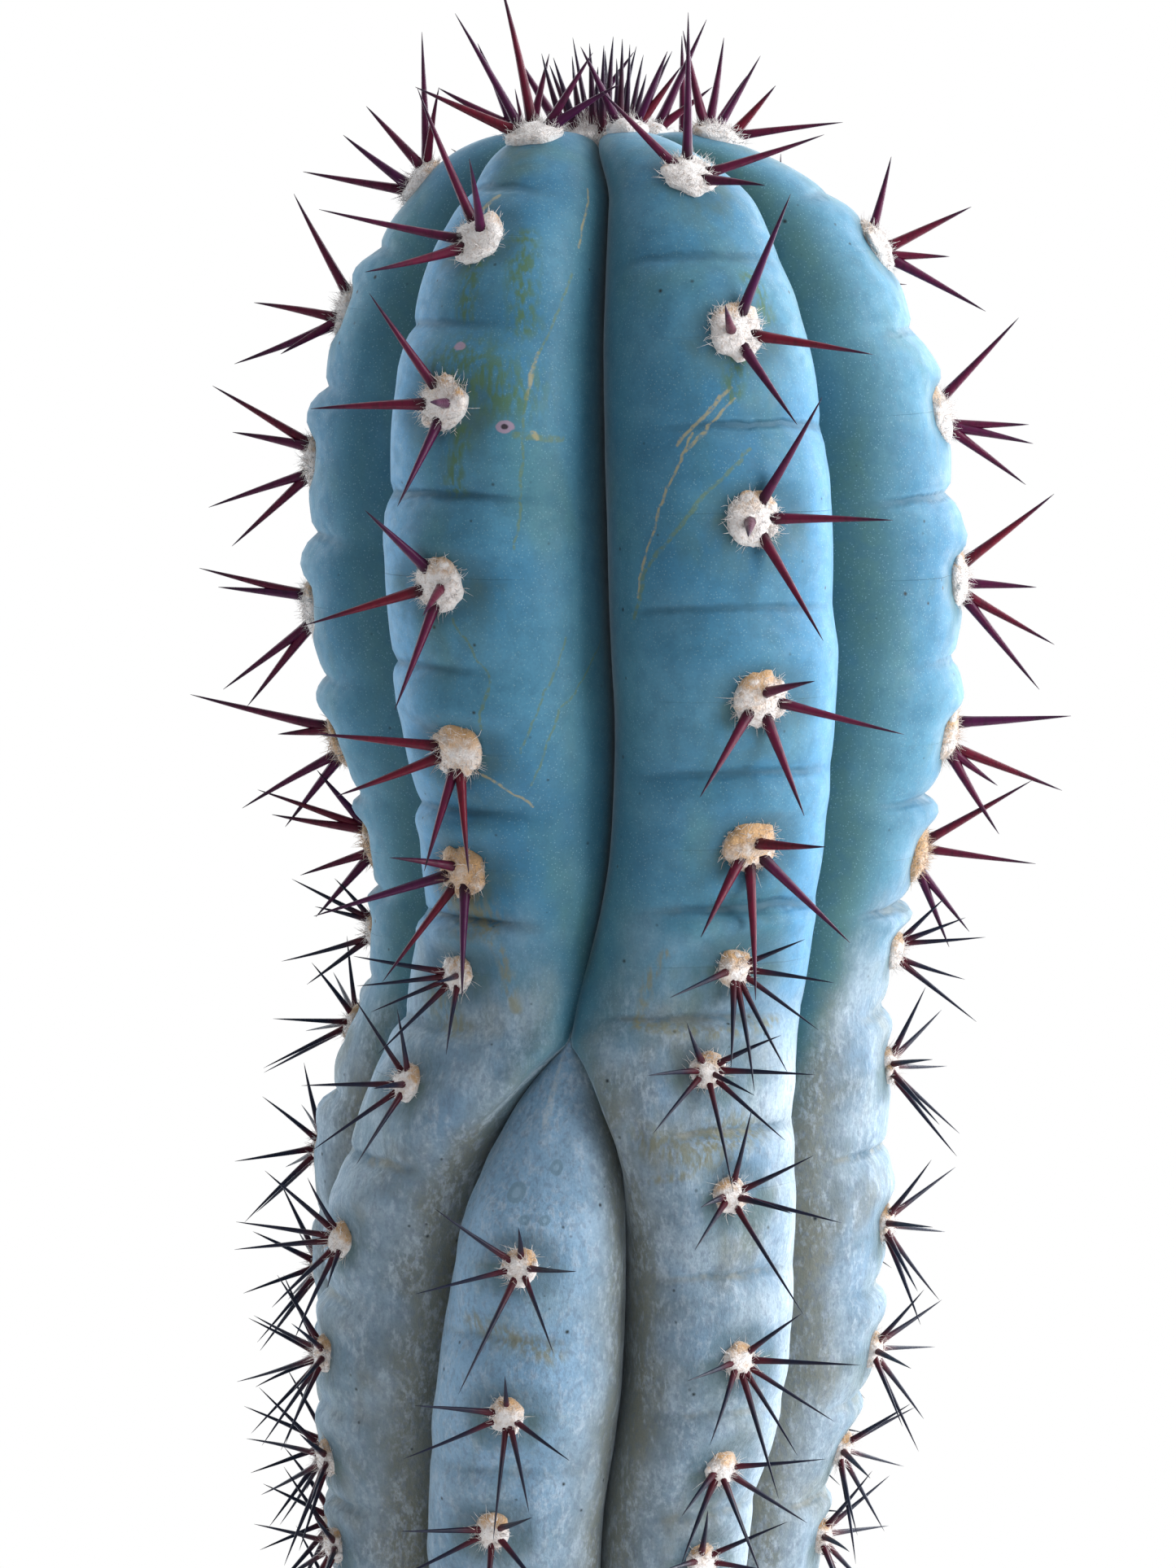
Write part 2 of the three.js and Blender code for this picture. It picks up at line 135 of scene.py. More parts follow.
# Each rib's bearing and its far valley's, in degrees from -Y towards +X, near the tip and below the
# turn. `hours` are the clock hours that the spines of each areole point to as seen from the front,
# from the tip down, some with a share of the usual length after a colon; a star marks one that
# stands out from the skin. Areoles past the list get a usual set, with hours as seen from outside.
RIBS = [
    dict(name="left", young=-96, old=-106, valley_young=-64, valley_old=-86, first=0.6, pace=0.885,
         hours=["11.9:1.25 9.3 10.7:0.8 10.2:0.7 1.2:0.8", "11.1 9.5:0.8 8.1 5.6:0.7", "10 9.5:0.8 8.5 7.6",
                "9.5 9.1:0.8 7.7 7.2:0.9", "9.4:1.25 8.9:0.5 8.2 7.2:0.8", "9.7 9.2 8.3:0.7 7.3:0.8 10.9:0.7",
                "10 9.5:0.7 7.8:0.8 8.4 11.4:0.7"]),
    dict(name="front_left", young=-35, old=-67, valley_young=-7.6, valley_old=-44, first=0, pace=1,
         hours=["9.8 11.8:1.35 0.9:0.8 2.2:0.8 11.1:1.1", "11.3:1.25 9.3:1.3 8:0.95 1*",
                "11:1.05 9 6.4:0.9 3*", "10.5:0.8 8.4:1.1 6.4 4.3*",
                "9.1:1.05 8.2:0.95 5.6:0.9 6.4:0.95", "8.5:1.2 7.3 5.6 10*",
                "9.4 8.8:0.9 8.3:0.8 7.4 5.5:0.8 3*", "10.8 12.2:0.8 9.1:1.1 7.7:1.1 6 4.3*",
                "10.3 11.6:0.8 9.4 8.8 7.6:0.9 6.4 4.8:0.6"]),
    dict(name="front_middle", young=-7.6, old=-15, valley_young=-7.6, valley_old=9, first=8, pace=1.2,
         hours=["10.2 12.2:0.6 3:0.8 4.8 6.6:1.3 8.5:1.1", "9.5 12.3:0.6 3.7 5 6.1:1.2 8.3",
                "9.4 2:0.7 4.2 6.1 8.2"]),
    dict(name="front_right", young=20.5, old=29, valley_young=50, valley_old=53, first=0.56, pace=1.025,
         hours=["0.1:1.25 10.4:0.9 2.5 4.3:0.7", "0.7:1.1 9.2* 3.3 5.3", "0.9:1.1 3.1:1.05 5.1:1.05 8*",
                "1.1* 3.5:1.15 5.3:0.9 7.4:0.9", "2.4* 4.4 5.9:1.2 7.2:0.8",
                "8.7 2.2:0.7 3.1 6.4 5.8:1.1 5.3 4.3", "9 11:0.8 2:0.8 3 7.8 5.9:1.2 4.4 4*",
                "12.2 2.2:0.9 3.5 8.9:0.6 7.7 5.4:1.3 3.5*", "1.4:0.9 2.9:1.1 8.9 7.5 5.9:1.4 5.1 4.2",
                "2.7 8.8:0.8 7.4 4 5.3:1.2 5.9*"]),
    dict(name="right", young=83, old=76, valley_young=112, valley_old=104, first=0.08, pace=0.995,
         hours=["1.4:0.6 3.1 11.6:0.9 12.4:0.8", "2.2:0.8 3:0.6 4 0.4:0.7", "1.5 3:0.7 3.3:0.7 4.2:0.9",
                "1.8 3:0.7 3.9 4.7:1.05", "3 3.6:1.15 5:0.8 4.4:0.6", "2:1.1 3.4 5.2:0.8 4.6:0.7",
                "1.3:0.7 3 4.3 3.6:0.8 2.4:0.7"]),
    dict(name="back_right", young=142, old=130, valley_young=172, valley_old=159.5, first=0.3, pace=1,
         hours=[]),
    dict(name="back_left", young=203, old=190, valley_young=233, valley_old=222, first=0.7, pace=1.02,
         hours=[]),
]
NEW_RIB = 2
YOUNG_HOURS = "0.5 3.3 5.8 8.4"
OLD_HOURS = "11.4 1.6 3.2 4.8 6.2 7.7 9.3"

# ---- areoles, mm ----
PAD_RADIUS = 3.9
PAD_HEIGHT = 1.9
OLD_PAD_SHARE = 0.66
OLD_FROM_DEPTH = 115
SPINE_RADIUS = 0.84
OLD_SPINE_SHARE = 0.6
YOUNG_SPINE_LENGTH = 17
OLD_SPINE_LENGTH = 12.5
# Near the tip spines rise more steeply off the skin: degrees, and how far down that fades
CROWN_RISE = 74
CROWN_SPREAD = 32
TUFT_RADIUS = 6.5
TUFT_HEIGHT = 3.0
TUFT_FIBRES = 900
TUFT_SPINES = 22
YOUNG_FIBRES = 460
OLD_FIBRES = 170
COARSE_FIBRES = 70

# ---- camera, mm and degrees ----
CAMERA_ASIDE = -4.2
CAMERA_DISTANCE = 750
CAMERA_BELOW_TIP = 15.3
CAMERA_TILT = 6.3
CAMERA_LENS = 115.8

# ---- studio, m and W ----
FLOOR_REACH = 1.45
AMBIENT = (0.4, 1.7)
BRIGHT_SIDE = (0.55, 0.82, 0.15)
AMBIENT_COLOUR = (0.94, 0.97, 1.0)
MIDDLE = (0, 0, 0.45)
WINDOWS = [
    ("right_window", (1.1, -0.35, 0.8), MIDDLE, (0.9, 1.4), 21, (0.96, 0.98, 1.0)),
    ("right_back_window", (0.85, 0.75, 0.7), MIDDLE, (0.6, 1.4), 17, (0.90, 0.96, 1.0)),
    ("left_back_window", (-1.0, 0.6, 0.7), MIDDLE, (0.5, 1.3), 7.5, (0.80, 0.92, 1.0)),
]


# ---------------------------------------------------------------- shape helpers

def lerp(a, b, t):
    return a + (b - a) * t


def ease(value, low, high):
    t = np.clip((value - low) / (high - low), 0, 1)
    return t * t * (3 - 2 * t)


def bell(value, middle, width):
    return np.exp(-(((value - middle) / width) ** 2))


def read_curve(positions, values, at):
    """A smooth curve through (position, value) points that never overshoots them."""
    positions = np.asarray(positions, float)
    values = np.asarray(values, float)
    slope = np.diff(values) / np.diff(positions)
    product = slope[:-1] * slope[1:]
    total = np.where(product > 0, slope[:-1] + slope[1:], 1)
    tangent = np.zeros(len(values))
    tangent[1:-1] = np.where(product > 0, 2 * product / total, 0)
    at = np.clip(at, positions[0], positions[-1])
    i = np.clip(np.searchsorted(positions, at, side="right") - 1, 0, len(slope) - 1)
    span = positions[i + 1] - positions[i]
    t = (at - positions[i]) / span
    return ((2 * t**3 - 3 * t**2 + 1) * values[i] + (t**3 - 2 * t**2 + t) * span * tangent[i]
            + (3 * t**2 - 2 * t**3) * values[i + 1] + (t**3 - t**2) * span * tangent[i + 1])


def noise_at(points, size, seed=0.0):
    """Smooth noise from -1 to 1 at points in mm, with lumps of about `size` mm."""
    flat = np.reshape(points, (-1, 3)) / size + seed
    values = [noise.noise(Vector(p)) for p in flat]
    return np.reshape(values, np.shape(points)[:-1])


def crest_radius(depth):
    return read_curve(STATIONS[:, 0], STATIONS[:, 1], depth)


def valley_radius(depth):
    return read_curve(STATIONS[:, 0], STATIONS[:, 2], depth)


def lean(depth):
    return read_curve(STATIONS[:, 0], STATIONS[:, 3], depth)


def turned(depth):
    return ease(depth, TURN_START, TURN_START + TURN_LENGTH)


def parted(depth, spread=NEW_RIB_SPREAD):
    return 1 - np.exp(-np.maximum(depth - NEW_RIB_DEPTH, 0) / spread)


def crease_bearing(depth):
    """Bearing of the valley that the new rib grows out of."""
    return lerp(RIBS[NEW_RIB]["young"], NEW_RIB_START, ease(depth, 80, 130))


def crest_bearing(index, depth):
    rib = RIBS[index]
    sway = sum(angle * bell(depth, middle, width) for angle, middle, width in SWAYS.get(rib["name"], []))
    if index == NEW_RIB:
        return np.radians(lerp(crease_bearing(depth), rib["old"], parted(depth)) + sway)
    return np.radians(lerp(rib["young"], rib["old"], turned(depth)) + sway)


def valley_bearing(index, depth):
    """Bearing of the valley after a rib; the two beside the new rib part where it starts."""
    rib = RIBS[index % len(RIBS)]
    if rib["name"] in CREASE_SPREAD:
        share = parted(depth, CREASE_SPREAD[rib["name"]])
        return np.radians(lerp(crease_bearing(depth), rib["valley_old"], share))
    bearing = np.radians(lerp(rib["valley_young"], rib["valley_old"], turned(depth)))
    return bearing - 2 * math.pi if index < 0 else bearing


def rib_radius(index, depth):
    if index != NEW_RIB:
        return crest_radius(depth)
    grown = np.clip((depth - NEW_RIB_DEPTH) / NEW_RIB_RISE, 0, 1)
    return lerp(valley_radius(depth), crest_radius(depth), np.sin(grown * math.pi / 2))


def rib_index(name):
    return [rib["name"] for rib in RIBS].index(name)


def areole_depths(rib):
    steps = np.arange(rib["first"], len(AREOLE_DEPTHS) - 1, rib["pace"])
    depths = read_curve(np.arange(len(AREOLE_DEPTHS)), AREOLE_DEPTHS, steps)
    for number, nudge in NUDGES.get(rib["name"], {}).items():
        depths[number] += nudge
    return depths


# ---------------------------------------------------------------- stem surface

def stem_depths():
    dome = DOME_DEPTH * (np.arange(1, DOME_ROWS + 1) / DOME_ROWS) ** DOME_ROW_EASE
    fine = np.arange(DOME_DEPTH + FINE_STEP, FINE_TO_DEPTH, FINE_STEP)
    coarse = np.arange(FINE_TO_DEPTH, STEM_HEIGHT + ROOT_DEPTH, COARSE_STEP)
    return np.concatenate([dome, fine, coarse])


def rib_height(index, depth, side, beside):
    """How far the skin of a rib stands out: 0 in the valleys, 1 on the crest."""
    # The two ribs beside the new one fold over it in a lip, and the new one starts as a keel
    roundness = RIB_ROUNDNESS
    if index == NEW_RIB - 1:
        roundness = RIB_ROUNDNESS + 2.6 * bell(depth, 137, 10) * (side > 0)
    if index == NEW_RIB + 1:
        roundness = RIB_ROUNDNESS + 2.4 * bell(depth, 143, 13) * (side < 0)
    if index == NEW_RIB:
        roundness = lerp(1.25, RIB_ROUNDNESS, ease(depth, NEW_RIB_DEPTH, NEW_RIB_DEPTH + 20))
    across = np.abs(np.sin(side * math.pi / 2))
    # Just above the new rib the crease opens into a soft hollow
    return np.maximum(1 - across**roundness, 0) ** (0.5 + 0.4 * bell(depth, 125, 10) * beside)


def dome_opening(depth):
    """Share of the full radius at a depth: 0 at the tip, 1 below the dome, less at the root."""
    fall = np.clip(depth / DOME_DEPTH, 0, 1)
    root = np.clip((depth - STEM_HEIGHT) / ROOT_DEPTH, 0, 1)
    return (1 - (1 - fall) ** DOME_EXPONENT) ** (1 / DOME_EXPONENT) * lerp(1, ROOT_END_SHARE, root**2)


def areole_gaps(rib, depth):
    """For each row, the number of the gap it lies in and the areole depths above and below it."""
    marks = np.concatenate([[-20], areole_depths(rib), [490]])
    gap = np.clip(np.searchsorted(marks, depth[:, 0], side="right") - 1, 0, len(marks) - 2)
    start, end = marks[gap][:, None], marks[gap + 1][:, None]
    between = 1 - np.abs(2 * (depth - start) / (end - start) - 1)
    between = np.where((depth < marks[1]) | (depth > STEM_HEIGHT), 0, between)
    return gap[:, None], start, end, between


def skin_masks(index, depth, side, height, start, end, beside):
    """What the skin's material reads, apart from the folds.

    pad: distance from the nearest areole; below: stain under an areole; lip: the neighbours' edges
    over the new rib; film_and_flank_shade: olive tint with painted shade on the flanks; bloom: pale wax
    bloom with a painted highlight on the lit limb of front_right; rim: painted highlight on bright limbs;
    fresh: clean new skin; shade: how dark the painted valley shade is; late and early: where age comes
    later or earlier; around: unrolled mm.
    """
    name = RIBS[index]["name"]
    aside = side * HALF_RIB * np.ones_like(depth)
    lip = 0
    if index == NEW_RIB - 1:
        lip = bell(side, 0.66, 0.1) * bell(depth, 137, 7)
    if index == NEW_RIB + 1:
        lip = bell(side, -0.72, 0.12) * bell(depth, 142, 11)
    # Olive tint and painted shade on the flanks, stronger on the inner flanks of the two side ribs
    film_and_flank_shade = 0.45 + 0.55 * ease(-side, 0, 0.3) * (name == "right")
    film_and_flank_shade = film_and_flank_shade + 0.35 * ease(side, 0, 0.3) * (name == "left")
    # Painted highlight: brighter blue along the left limb of front_left and the right limb of front_right
    rim = ease(-side, 0.02, 0.2) * (name == "front_left")
    rim = rim + 0.8 * ease(side, 0.08, 0.36) * (name == "front_right") * ease(depth, 20, 60)
    return dict(
        pad=np.sqrt(np.minimum(np.abs(depth - start), np.abs(depth - end)) ** 2 + aside**2),
        below=np.exp(-np.maximum(depth - start, 0) / 7.0) * bell(aside, 0, 5.5),
        lip=lip,
        film_and_flank_shade=film_and_flank_shade * ease(-height, -0.96, -0.6),
        # Pale wax bloom and painted highlight: paler skin on the lit right limb of front_right, below the
        # turn
        bloom=ease(side, 0.12, 0.6) * ease(depth, 118, 145) * (name == "front_right"),
        rim=rim,
        fresh=ease(-side, -0.75, -0.1) * lerp(1, 0.45, ease(depth, 175, 215)) * (index == NEW_RIB),
        shade=1 - 0.8 * bell(depth, 127, 13) * (beside + (index == NEW_RIB)),
        late=26 + 24 * (name == "right") * (side < 0),
        early=10 * (name == "right"),
        around=2 * index * HALF_RIB + aside,
    )


def rib_surface(index, depth, side):
    """The skin of one rib over rows (depths) and columns (side, -1 to 1), with its masks."""
    rib = RIBS[index]
    depth = depth[:, None]
    side = side[None, :]
    opening = dome_opening(depth)
    fall = np.clip(depth / DOME_DEPTH, 0, 1)
    valley_depth = np.where(depth < DOME_DEPTH, lerp(APEX_HOLLOW + 1, DOME_DEPTH, fall), depth)

    beside = (index == NEW_RIB - 1) * (side > 0) + (index == NEW_RIB + 1) * (side < 0)
    height = rib_height(index, depth, side, beside)
    across = np.sin(side * math.pi / 2)
    edge = np.where(side < 0, valley_bearing(index - 1, valley_depth), valley_bearing(index, valley_depth))
    bearing = lerp(crest_bearing(index, depth), edge, np.abs(across))

    # Between two areoles the crest is notched: `fold` is the distance below the fold line there
    gap, start, end, between = areole_gaps(rib, depth)
    shift = np.sin(gap * 2.4 + index) * 0.12 + FOLD_SHIFT.get(rib["name"], 0)
    strength = 0.95 + 0.25 * np.sin(gap * 4.1 + 2 * index)
    strength = strength * lerp(1, 0.3 if index == NEW_RIB else 0.6, ease(depth, 146, 166))
    fold = depth - (start + end) / 2 - 2.6 * (side - shift) ** 2
    fold_mask = strength * np.exp(-((side - shift) / 0.42) ** 4) * np.clip(between * 4, 0, 1)

    # An areole sits in a pit under a brow of skin; `past` is the depth below the nearest areole
    past = np.where(depth - start < end - depth, depth - start, depth - end)
    past = np.where((start < 0) & (past >= 0), 99, past)
    vigour = lerp(1, 0.6, ease(depth, 105, 130)) * ease(depth, 6, 22) * (depth < AREOLES_TO_DEPTH)
    brow = 1.3 * bell(past, -6.2, 2.7) * bell(side, 0, 0.45)
    pit = 1.2 * np.exp(-((past / 3.9) ** 4) - (side / 0.21) ** 4)

    # Where the new rib starts, its valleys are shallower
    shallow = 3.2 * bell(depth, 131, 12)
    low = valley_radius(valley_depth) + shallow * (beside + (index == NEW_RIB))
    high = rib_radius(index, depth) + shallow * (index == NEW_RIB)
    notched = NOTCH_DEPTH * between**NOTCH_EXPONENT * height**2
    groove = 0.85 * bell(fold, 0, 0.75) - 0.55 * bell(fold, 2.4, 1.6)
    radius = (lerp(low, high, height) - notched - groove * fold_mask + (brow - pit) * vigour) * opening
    hollow = APEX_HOLLOW * np.exp(-((opening * high / APEX_HOLLOW_RADIUS) ** 2))
    level = lerp(valley_depth, depth + hollow, height)
    points = np.stack([
        lean(level) + radius * np.sin(bearing),
        -radius * np.cos(bearing),
        STEM_TOP - level,
    ], axis=-1)

    masks = skin_masks(index, depth, side, height, start, end, beside)
    masks.update(height=height, fold=fold, fold_mask=fold_mask, depth=depth, side=side)
    full = np.ones_like(height)
    return dict(points=points, **{key: mask * full for key, mask in masks.items()})


def stem_grid():
    """All ribs side by side: arrays of rows x columns."""
    depth = stem_depths()
    side = -1 + 2 * np.arange(COLUMNS_PER_RIB) / COLUMNS_PER_RIB
    ribs = [rib_surface(index, depth, side) for index in range(len(RIBS))]
    # Above its tip the new rib lies in the valley between its neighbours
    above = depth <= NEW_RIB_DEPTH
    edge = ribs[NEW_RIB + 1]
    for key, values in ribs[NEW_RIB].items():
        values[above] = edge[key][above, :1]
    grid = {key: np.concatenate([rib[key] for rib in ribs], axis=1) for key in ribs[0]}
    grid["above"] = above
    return grid


def grid_normals(points):
    down = np.gradient(points, axis=0)
    along = np.roll(points, -1, axis=1) - np.roll(points, 1, axis=1)
    normal = np.cross(down, along)
    return normal / (np.linalg.norm(normal, axis=-1, keepdims=True) + 1e-9)


def weather_stem(grid):
    """Adds the age mask and the unevenness of a grown stem."""
    points = grid["points"]
    depth = grid["depth"]
    height = grid["height"]
    broad = noise_at(points, 21)
    middle = noise_at(points, 8, 3.1)
    age = ease(depth + 9 * broad + 5 * middle + grid["early"] - grid["late"] * grid["side"] ** 2, 97, 147)
    streak = points * np.array([1, 1, 0.22])
    wrinkle = noise_at(streak, 2.6, 7.7)
    calm = np.clip(height * 1.6, 0, 1) * ease(depth, 4, 20)
    swell = (0.55 * broad + 0.22 * middle) * calm
    swell = swell + age * (0.3 * wrinkle + 0.25 * noise_at(points, 4.5, 9.4)) * calm
    swell = swell + 1.6 * grid["lip"]
    grid["points"] = points + grid_normals(points) * swell[..., None]
    grid["age"] = age
    grid["normals"] = grid_normals(grid["points"])


# ---------------------------------------------------------------- mesh building

class Builder:
    """Collects the vertices, faces and point values of one piece, in mm."""

    def __init__(self):
        self.points = []
        self.faces = []
        self.values = {}
        self.count = 0

    def add(self, points, faces, **values):
        points = np.reshape(points, (-1, 3))
        self.points.append(points)
        self.faces.extend(tuple(self.count + i for i in face) for face in faces)
        for key, value in values.items():
            spread = np.broadcast_to(np.ravel(value) if np.ndim(value) else value, len(points))
            self.values.setdefault(key, []).append(spread)
        self.count += len(points)

    def make(self, name, material, slot):
        mesh = bpy.data.meshes.new(name)
        points = np.concatenate(self.points) * MM
        mesh.from_pydata(points.tolist(), [], self.faces)
        for key, parts in self.values.items():
            attribute = mesh.attributes.new(key, "FLOAT", "POINT")
            attribute.data.foreach_set("value", np.concatenate(parts).astype(np.float32))
        mesh.shade_smooth()
        mesh.materials.append(material)
        mesh.update()
        piece = bpy.data.objects.new(name, mesh)
        bpy.context.scene.collection.objects.link(piece)
        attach(piece, "root")
        return piece


def grid_faces(ids):
    """Quads around a closed grid of vertex numbers, with collapsed ones dropped or made triangles."""
    right = np.roll(ids, -1, axis=1)
    corners = np.stack([ids[:-1], ids[1:], right[1:], right[:-1]], axis=-1).reshape(-1, 4)
    faces = []
    for corner in corners.tolist():
        face = []
        for vertex in corner:
            if vertex not in face:
                face.append(vertex)
        if len(face) > 2:
            faces.append(face)
    return faces


def make_stem(grid, material):
    rows, columns = grid["depth"].shape
    ids = np.arange(rows * columns).reshape(rows, columns)
    new = slice(NEW_RIB * COLUMNS_PER_RIB, (NEW_RIB + 1) * COLUMNS_PER_RIB)
    ids[grid["above"], new] = ids[grid["above"], (NEW_RIB + 1) * COLUMNS_PER_RIB][:, None]
    faces = grid_faces(ids)
    points = grid["points"].reshape(-1, 3)
    keys = ("age", "height", "fold", "fold_mask", "pad", "below", "depth", "film_and_flank_shade", "bloom", "rim", "fresh",
            "shade", "around")
    values = {key: grid[key].ravel() for key in keys}
    ends = []
    for row, flip in ((0, True), (rows - 1, False)):
        ring = list(dict.fromkeys(ids[row].tolist()))
        centre = rows * columns + len(ends)
        ends.append(grid["points"][row].mean(axis=0))
        for a, b in zip(ring, ring[1:] + ring[:1]):
            faces.append((centre, a, b) if flip else (centre, b, a))
    points = np.concatenate([points, ends])
    values = {key: np.concatenate([value, [value[0], value[-1]]]) for key, value in values.items()}
    used = np.zeros(len(points), bool)
    used[np.concatenate([np.ravel(face) for face in faces])] = True
    renumber = np.cumsum(used) - 1
    faces = [[int(renumber[i]) for i in face] for face in faces]
    builder = Builder()
    builder.add(points[used], faces, **{key: value[used] for key, value in values.items()})
    piece = builder.make("cactus_stem", material, "blue_skin")
    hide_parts("stem")


def ring_tube(path, radii, sides):
    """Points and faces of a closed tube along a path, with a ring of `sides` at each point."""
    path = np.asarray(path, float)
    tangent = np.gradient(path, axis=0)
    tangent /= np.linalg.norm(tangent, axis=1, keepdims=True)
    helper = np.array([0.0, 0.0, 1.0]) if abs(tangent[0][2]) < 0.9 else np.array([1.0, 0.0, 0.0])
    first = np.cross(tangent, helper)
    first /= np.linalg.norm(first, axis=1, keepdims=True)
    second = np.cross(tangent, first)
    angle = np.arange(sides) * 2 * math.pi / sides
    ring = (first[:, None] * np.cos(angle)[None, :, None] + second[:, None] * np.sin(angle)[None, :, None])
    points = path[:, None] + ring * np.asarray(radii, float)[:, None, None]
    ids = np.arange(len(path) * sides).reshape(len(path), sides)
    faces = grid_faces(ids)
    faces.append(ids[0].tolist())
    faces.append(ids[-1][::-1].tolist())
    return points.reshape(-1, 3), faces


SPINE_RINGS = np.array([0, 0.03, 0.08, 0.18, 0.32, 0.48, 0.64, 0.8, 0.92, 1.0])


def add_spine(builder, base, direction, length, radius, bend, tone, young):
    """One straight, stout spine that tapers from a swollen base to a needle tip."""
    path = base + SPINE_RINGS[:, None] * length * direction + (SPINE_RINGS**2)[:, None] * bend
    taper = (1 - SPINE_RINGS) ** 0.82 * (1 + 0.16 * bell(SPINE_RINGS, 0.02, 0.06)) + 0.035
    points, faces = ring_tube(path, radius * taper, 8)
    builder.add(points, faces, along=np.repeat(SPINE_RINGS, 8), tone=tone, young=young)


def add_fibre(builder, base, direction, length, bend, thickness, tone):
    """One hair of the felt: three-sided, bent and pointed."""
    t = np.array([0, 0.55, 1.0])
    path = base + t[:, None] * length * direction + (t**2)[:, None] * bend
    points, faces = ring_tube(path, thickness * np.array([1, 0.75, 0.2]), 3)
    builder.add(points, faces, tone=tone, tip=np.repeat(t, 3))


def add_pad(builder, seat, radius, height, stretch, tone, lumps, rings=11, sides=26):
    """A lumpy felt cushion whose edge dips into the skin."""
    angle = np.arange(sides) * 2 * math.pi / sides
    lift = np.linspace(-0.5, 1, rings) * math.pi / 2
    outline = 1 + 0.16 * np.array([noise.noise(Vector((2 * math.cos(a), 2 * math.sin(a), lumps)))
                                   for a in angle])
    flat = np.cos(lift)[:, None] * outline * radius
    local = np.stack([
        flat * np.cos(angle),
        flat * np.sin(angle) * stretch,
        np.sin(lift)[:, None] * height * np.ones(sides),
    ], axis=-1)
    rough = noise_at(local, 1.5, lumps) * 0.42 + noise_at(local, 0.6, lumps + 5) * 0.2
    local = local * (1 + 0.38 * rough * np.clip(np.sin(lift) + 0.6, 0, 1)[:, None])[..., None]
    world = seat["middle"] + local @ np.stack([seat["across"], seat["along"], seat["out"]])
    ids = np.arange(rings * sides).reshape(rings, sides)
    faces = [face[::-1] for face in grid_faces(ids)]
    faces.append(ids[0][::-1].tolist())
    faces.append(ids[-1].tolist())
    edge = np.clip(1 - np.sin(np.maximum(lift, 0)), 0, 1)
    upper = 0.6 * ease(local[..., 1] / radius, 0.1, 1.0)
    builder.add(world.reshape(-1, 3), faces, tone=np.clip(tone + upper, 0, 1), tip=np.repeat(edge, sides))


# ---------------------------------------------------------------- areoles

def seat_at(grid, index, depth):
    """Where an areole sits on a crest, with its directions across, along and out of the skin."""
    row = int(np.argmin(np.abs(grid["depth"][:, 0] - depth)))
    column = index * COLUMNS_PER_RIB + COLUMNS_PER_RIB // 2
    points = grid["points"]
    along = points[max(row - 2, 0), column] - points[row + 2, column]
    along /= np.linalg.norm(along)
    out = grid["normals"][max(row - 1, 0):row + 2, column - 2:column + 3].reshape(-1, 3).mean(axis=0)
    out -= along * out.dot(along)
    out /= np.linalg.norm(out)
    return dict(middle=points[row, column], along=along, out=out, across=np.cross(along, out))


def toward(seat, hour, rise):
    """Direction of a clock hour seen from outside, lifted off the skin by `rise` degrees."""
    turn = math.radians(30 * hour)
    up = math.radians(rise)
    return ((seat["across"] * math.sin(turn) + seat["along"] * math.cos(turn)) * math.cos(up)
            + seat["out"] * math.sin(up))


def toward_from_front(seat, hour, rise):
    """Direction of a clock hour seen from -Y, tipped out until it clears the skin by `rise` degrees."""
    turn = math.radians(30 * hour)
    flat = np.array([math.sin(turn), 0, math.cos(turn)])
    tip = seat["out"] + np.array([0, -0.5, 0])
    for share in np.linspace(0, 4, 81):
        direction = flat + share * tip
        direction /= np.linalg.norm(direction)
        if direction.dot(seat["out"]) >= math.sin(math.radians(rise)):
            break
    return direction


def areole_spines(builder, seat, hours, depth, pad_radius, rng, from_front):
    """The spines of one areole, in the directions that `hours` gives."""
    old = ease(depth, OLD_FROM_DEPTH - 12, OLD_FROM_DEPTH + 6)
    aim = toward_from_front if from_front else toward
    for word in hours.split():
        straight = word.endswith("*")
        hour, _, share = word.rstrip("*").partition(":")
        hour = float(hour) + rng.uniform(-0.12, 0.12)
        rise = 64 if straight else lerp(27, 33, old) + rng.uniform(-5, 5)
        if not from_front:
            rise = lerp(CROWN_RISE, rise, ease(depth, 0, CROWN_SPREAD))
        downward = 1 - abs(hour % 12 - 6) / 6
        length = lerp(YOUNG_SPINE_LENGTH, OLD_SPINE_LENGTH + 3 * downward, old) * rng.uniform(0.92, 1.06)
        length *= float(share or 1) * (0.8 if straight else 1)
        radius = SPINE_RADIUS * lerp(1, OLD_SPINE_SHARE, old) * rng.uniform(0.88, 1.08)
        direction = aim(seat, hour, rise)
        flat = direction - seat["out"] * direction.dot(seat["out"])
        flat /= np.linalg.norm(flat) + 1e-9
        base = seat["middle"] + flat * pad_radius * (0.2 if straight else 0.5) + seat["out"] * 0.6
        bend = rng.normal(0, 0.35, 3)
        add_spine(builder, base, direction, length, radius, bend, rng.uniform(), 1 - old)


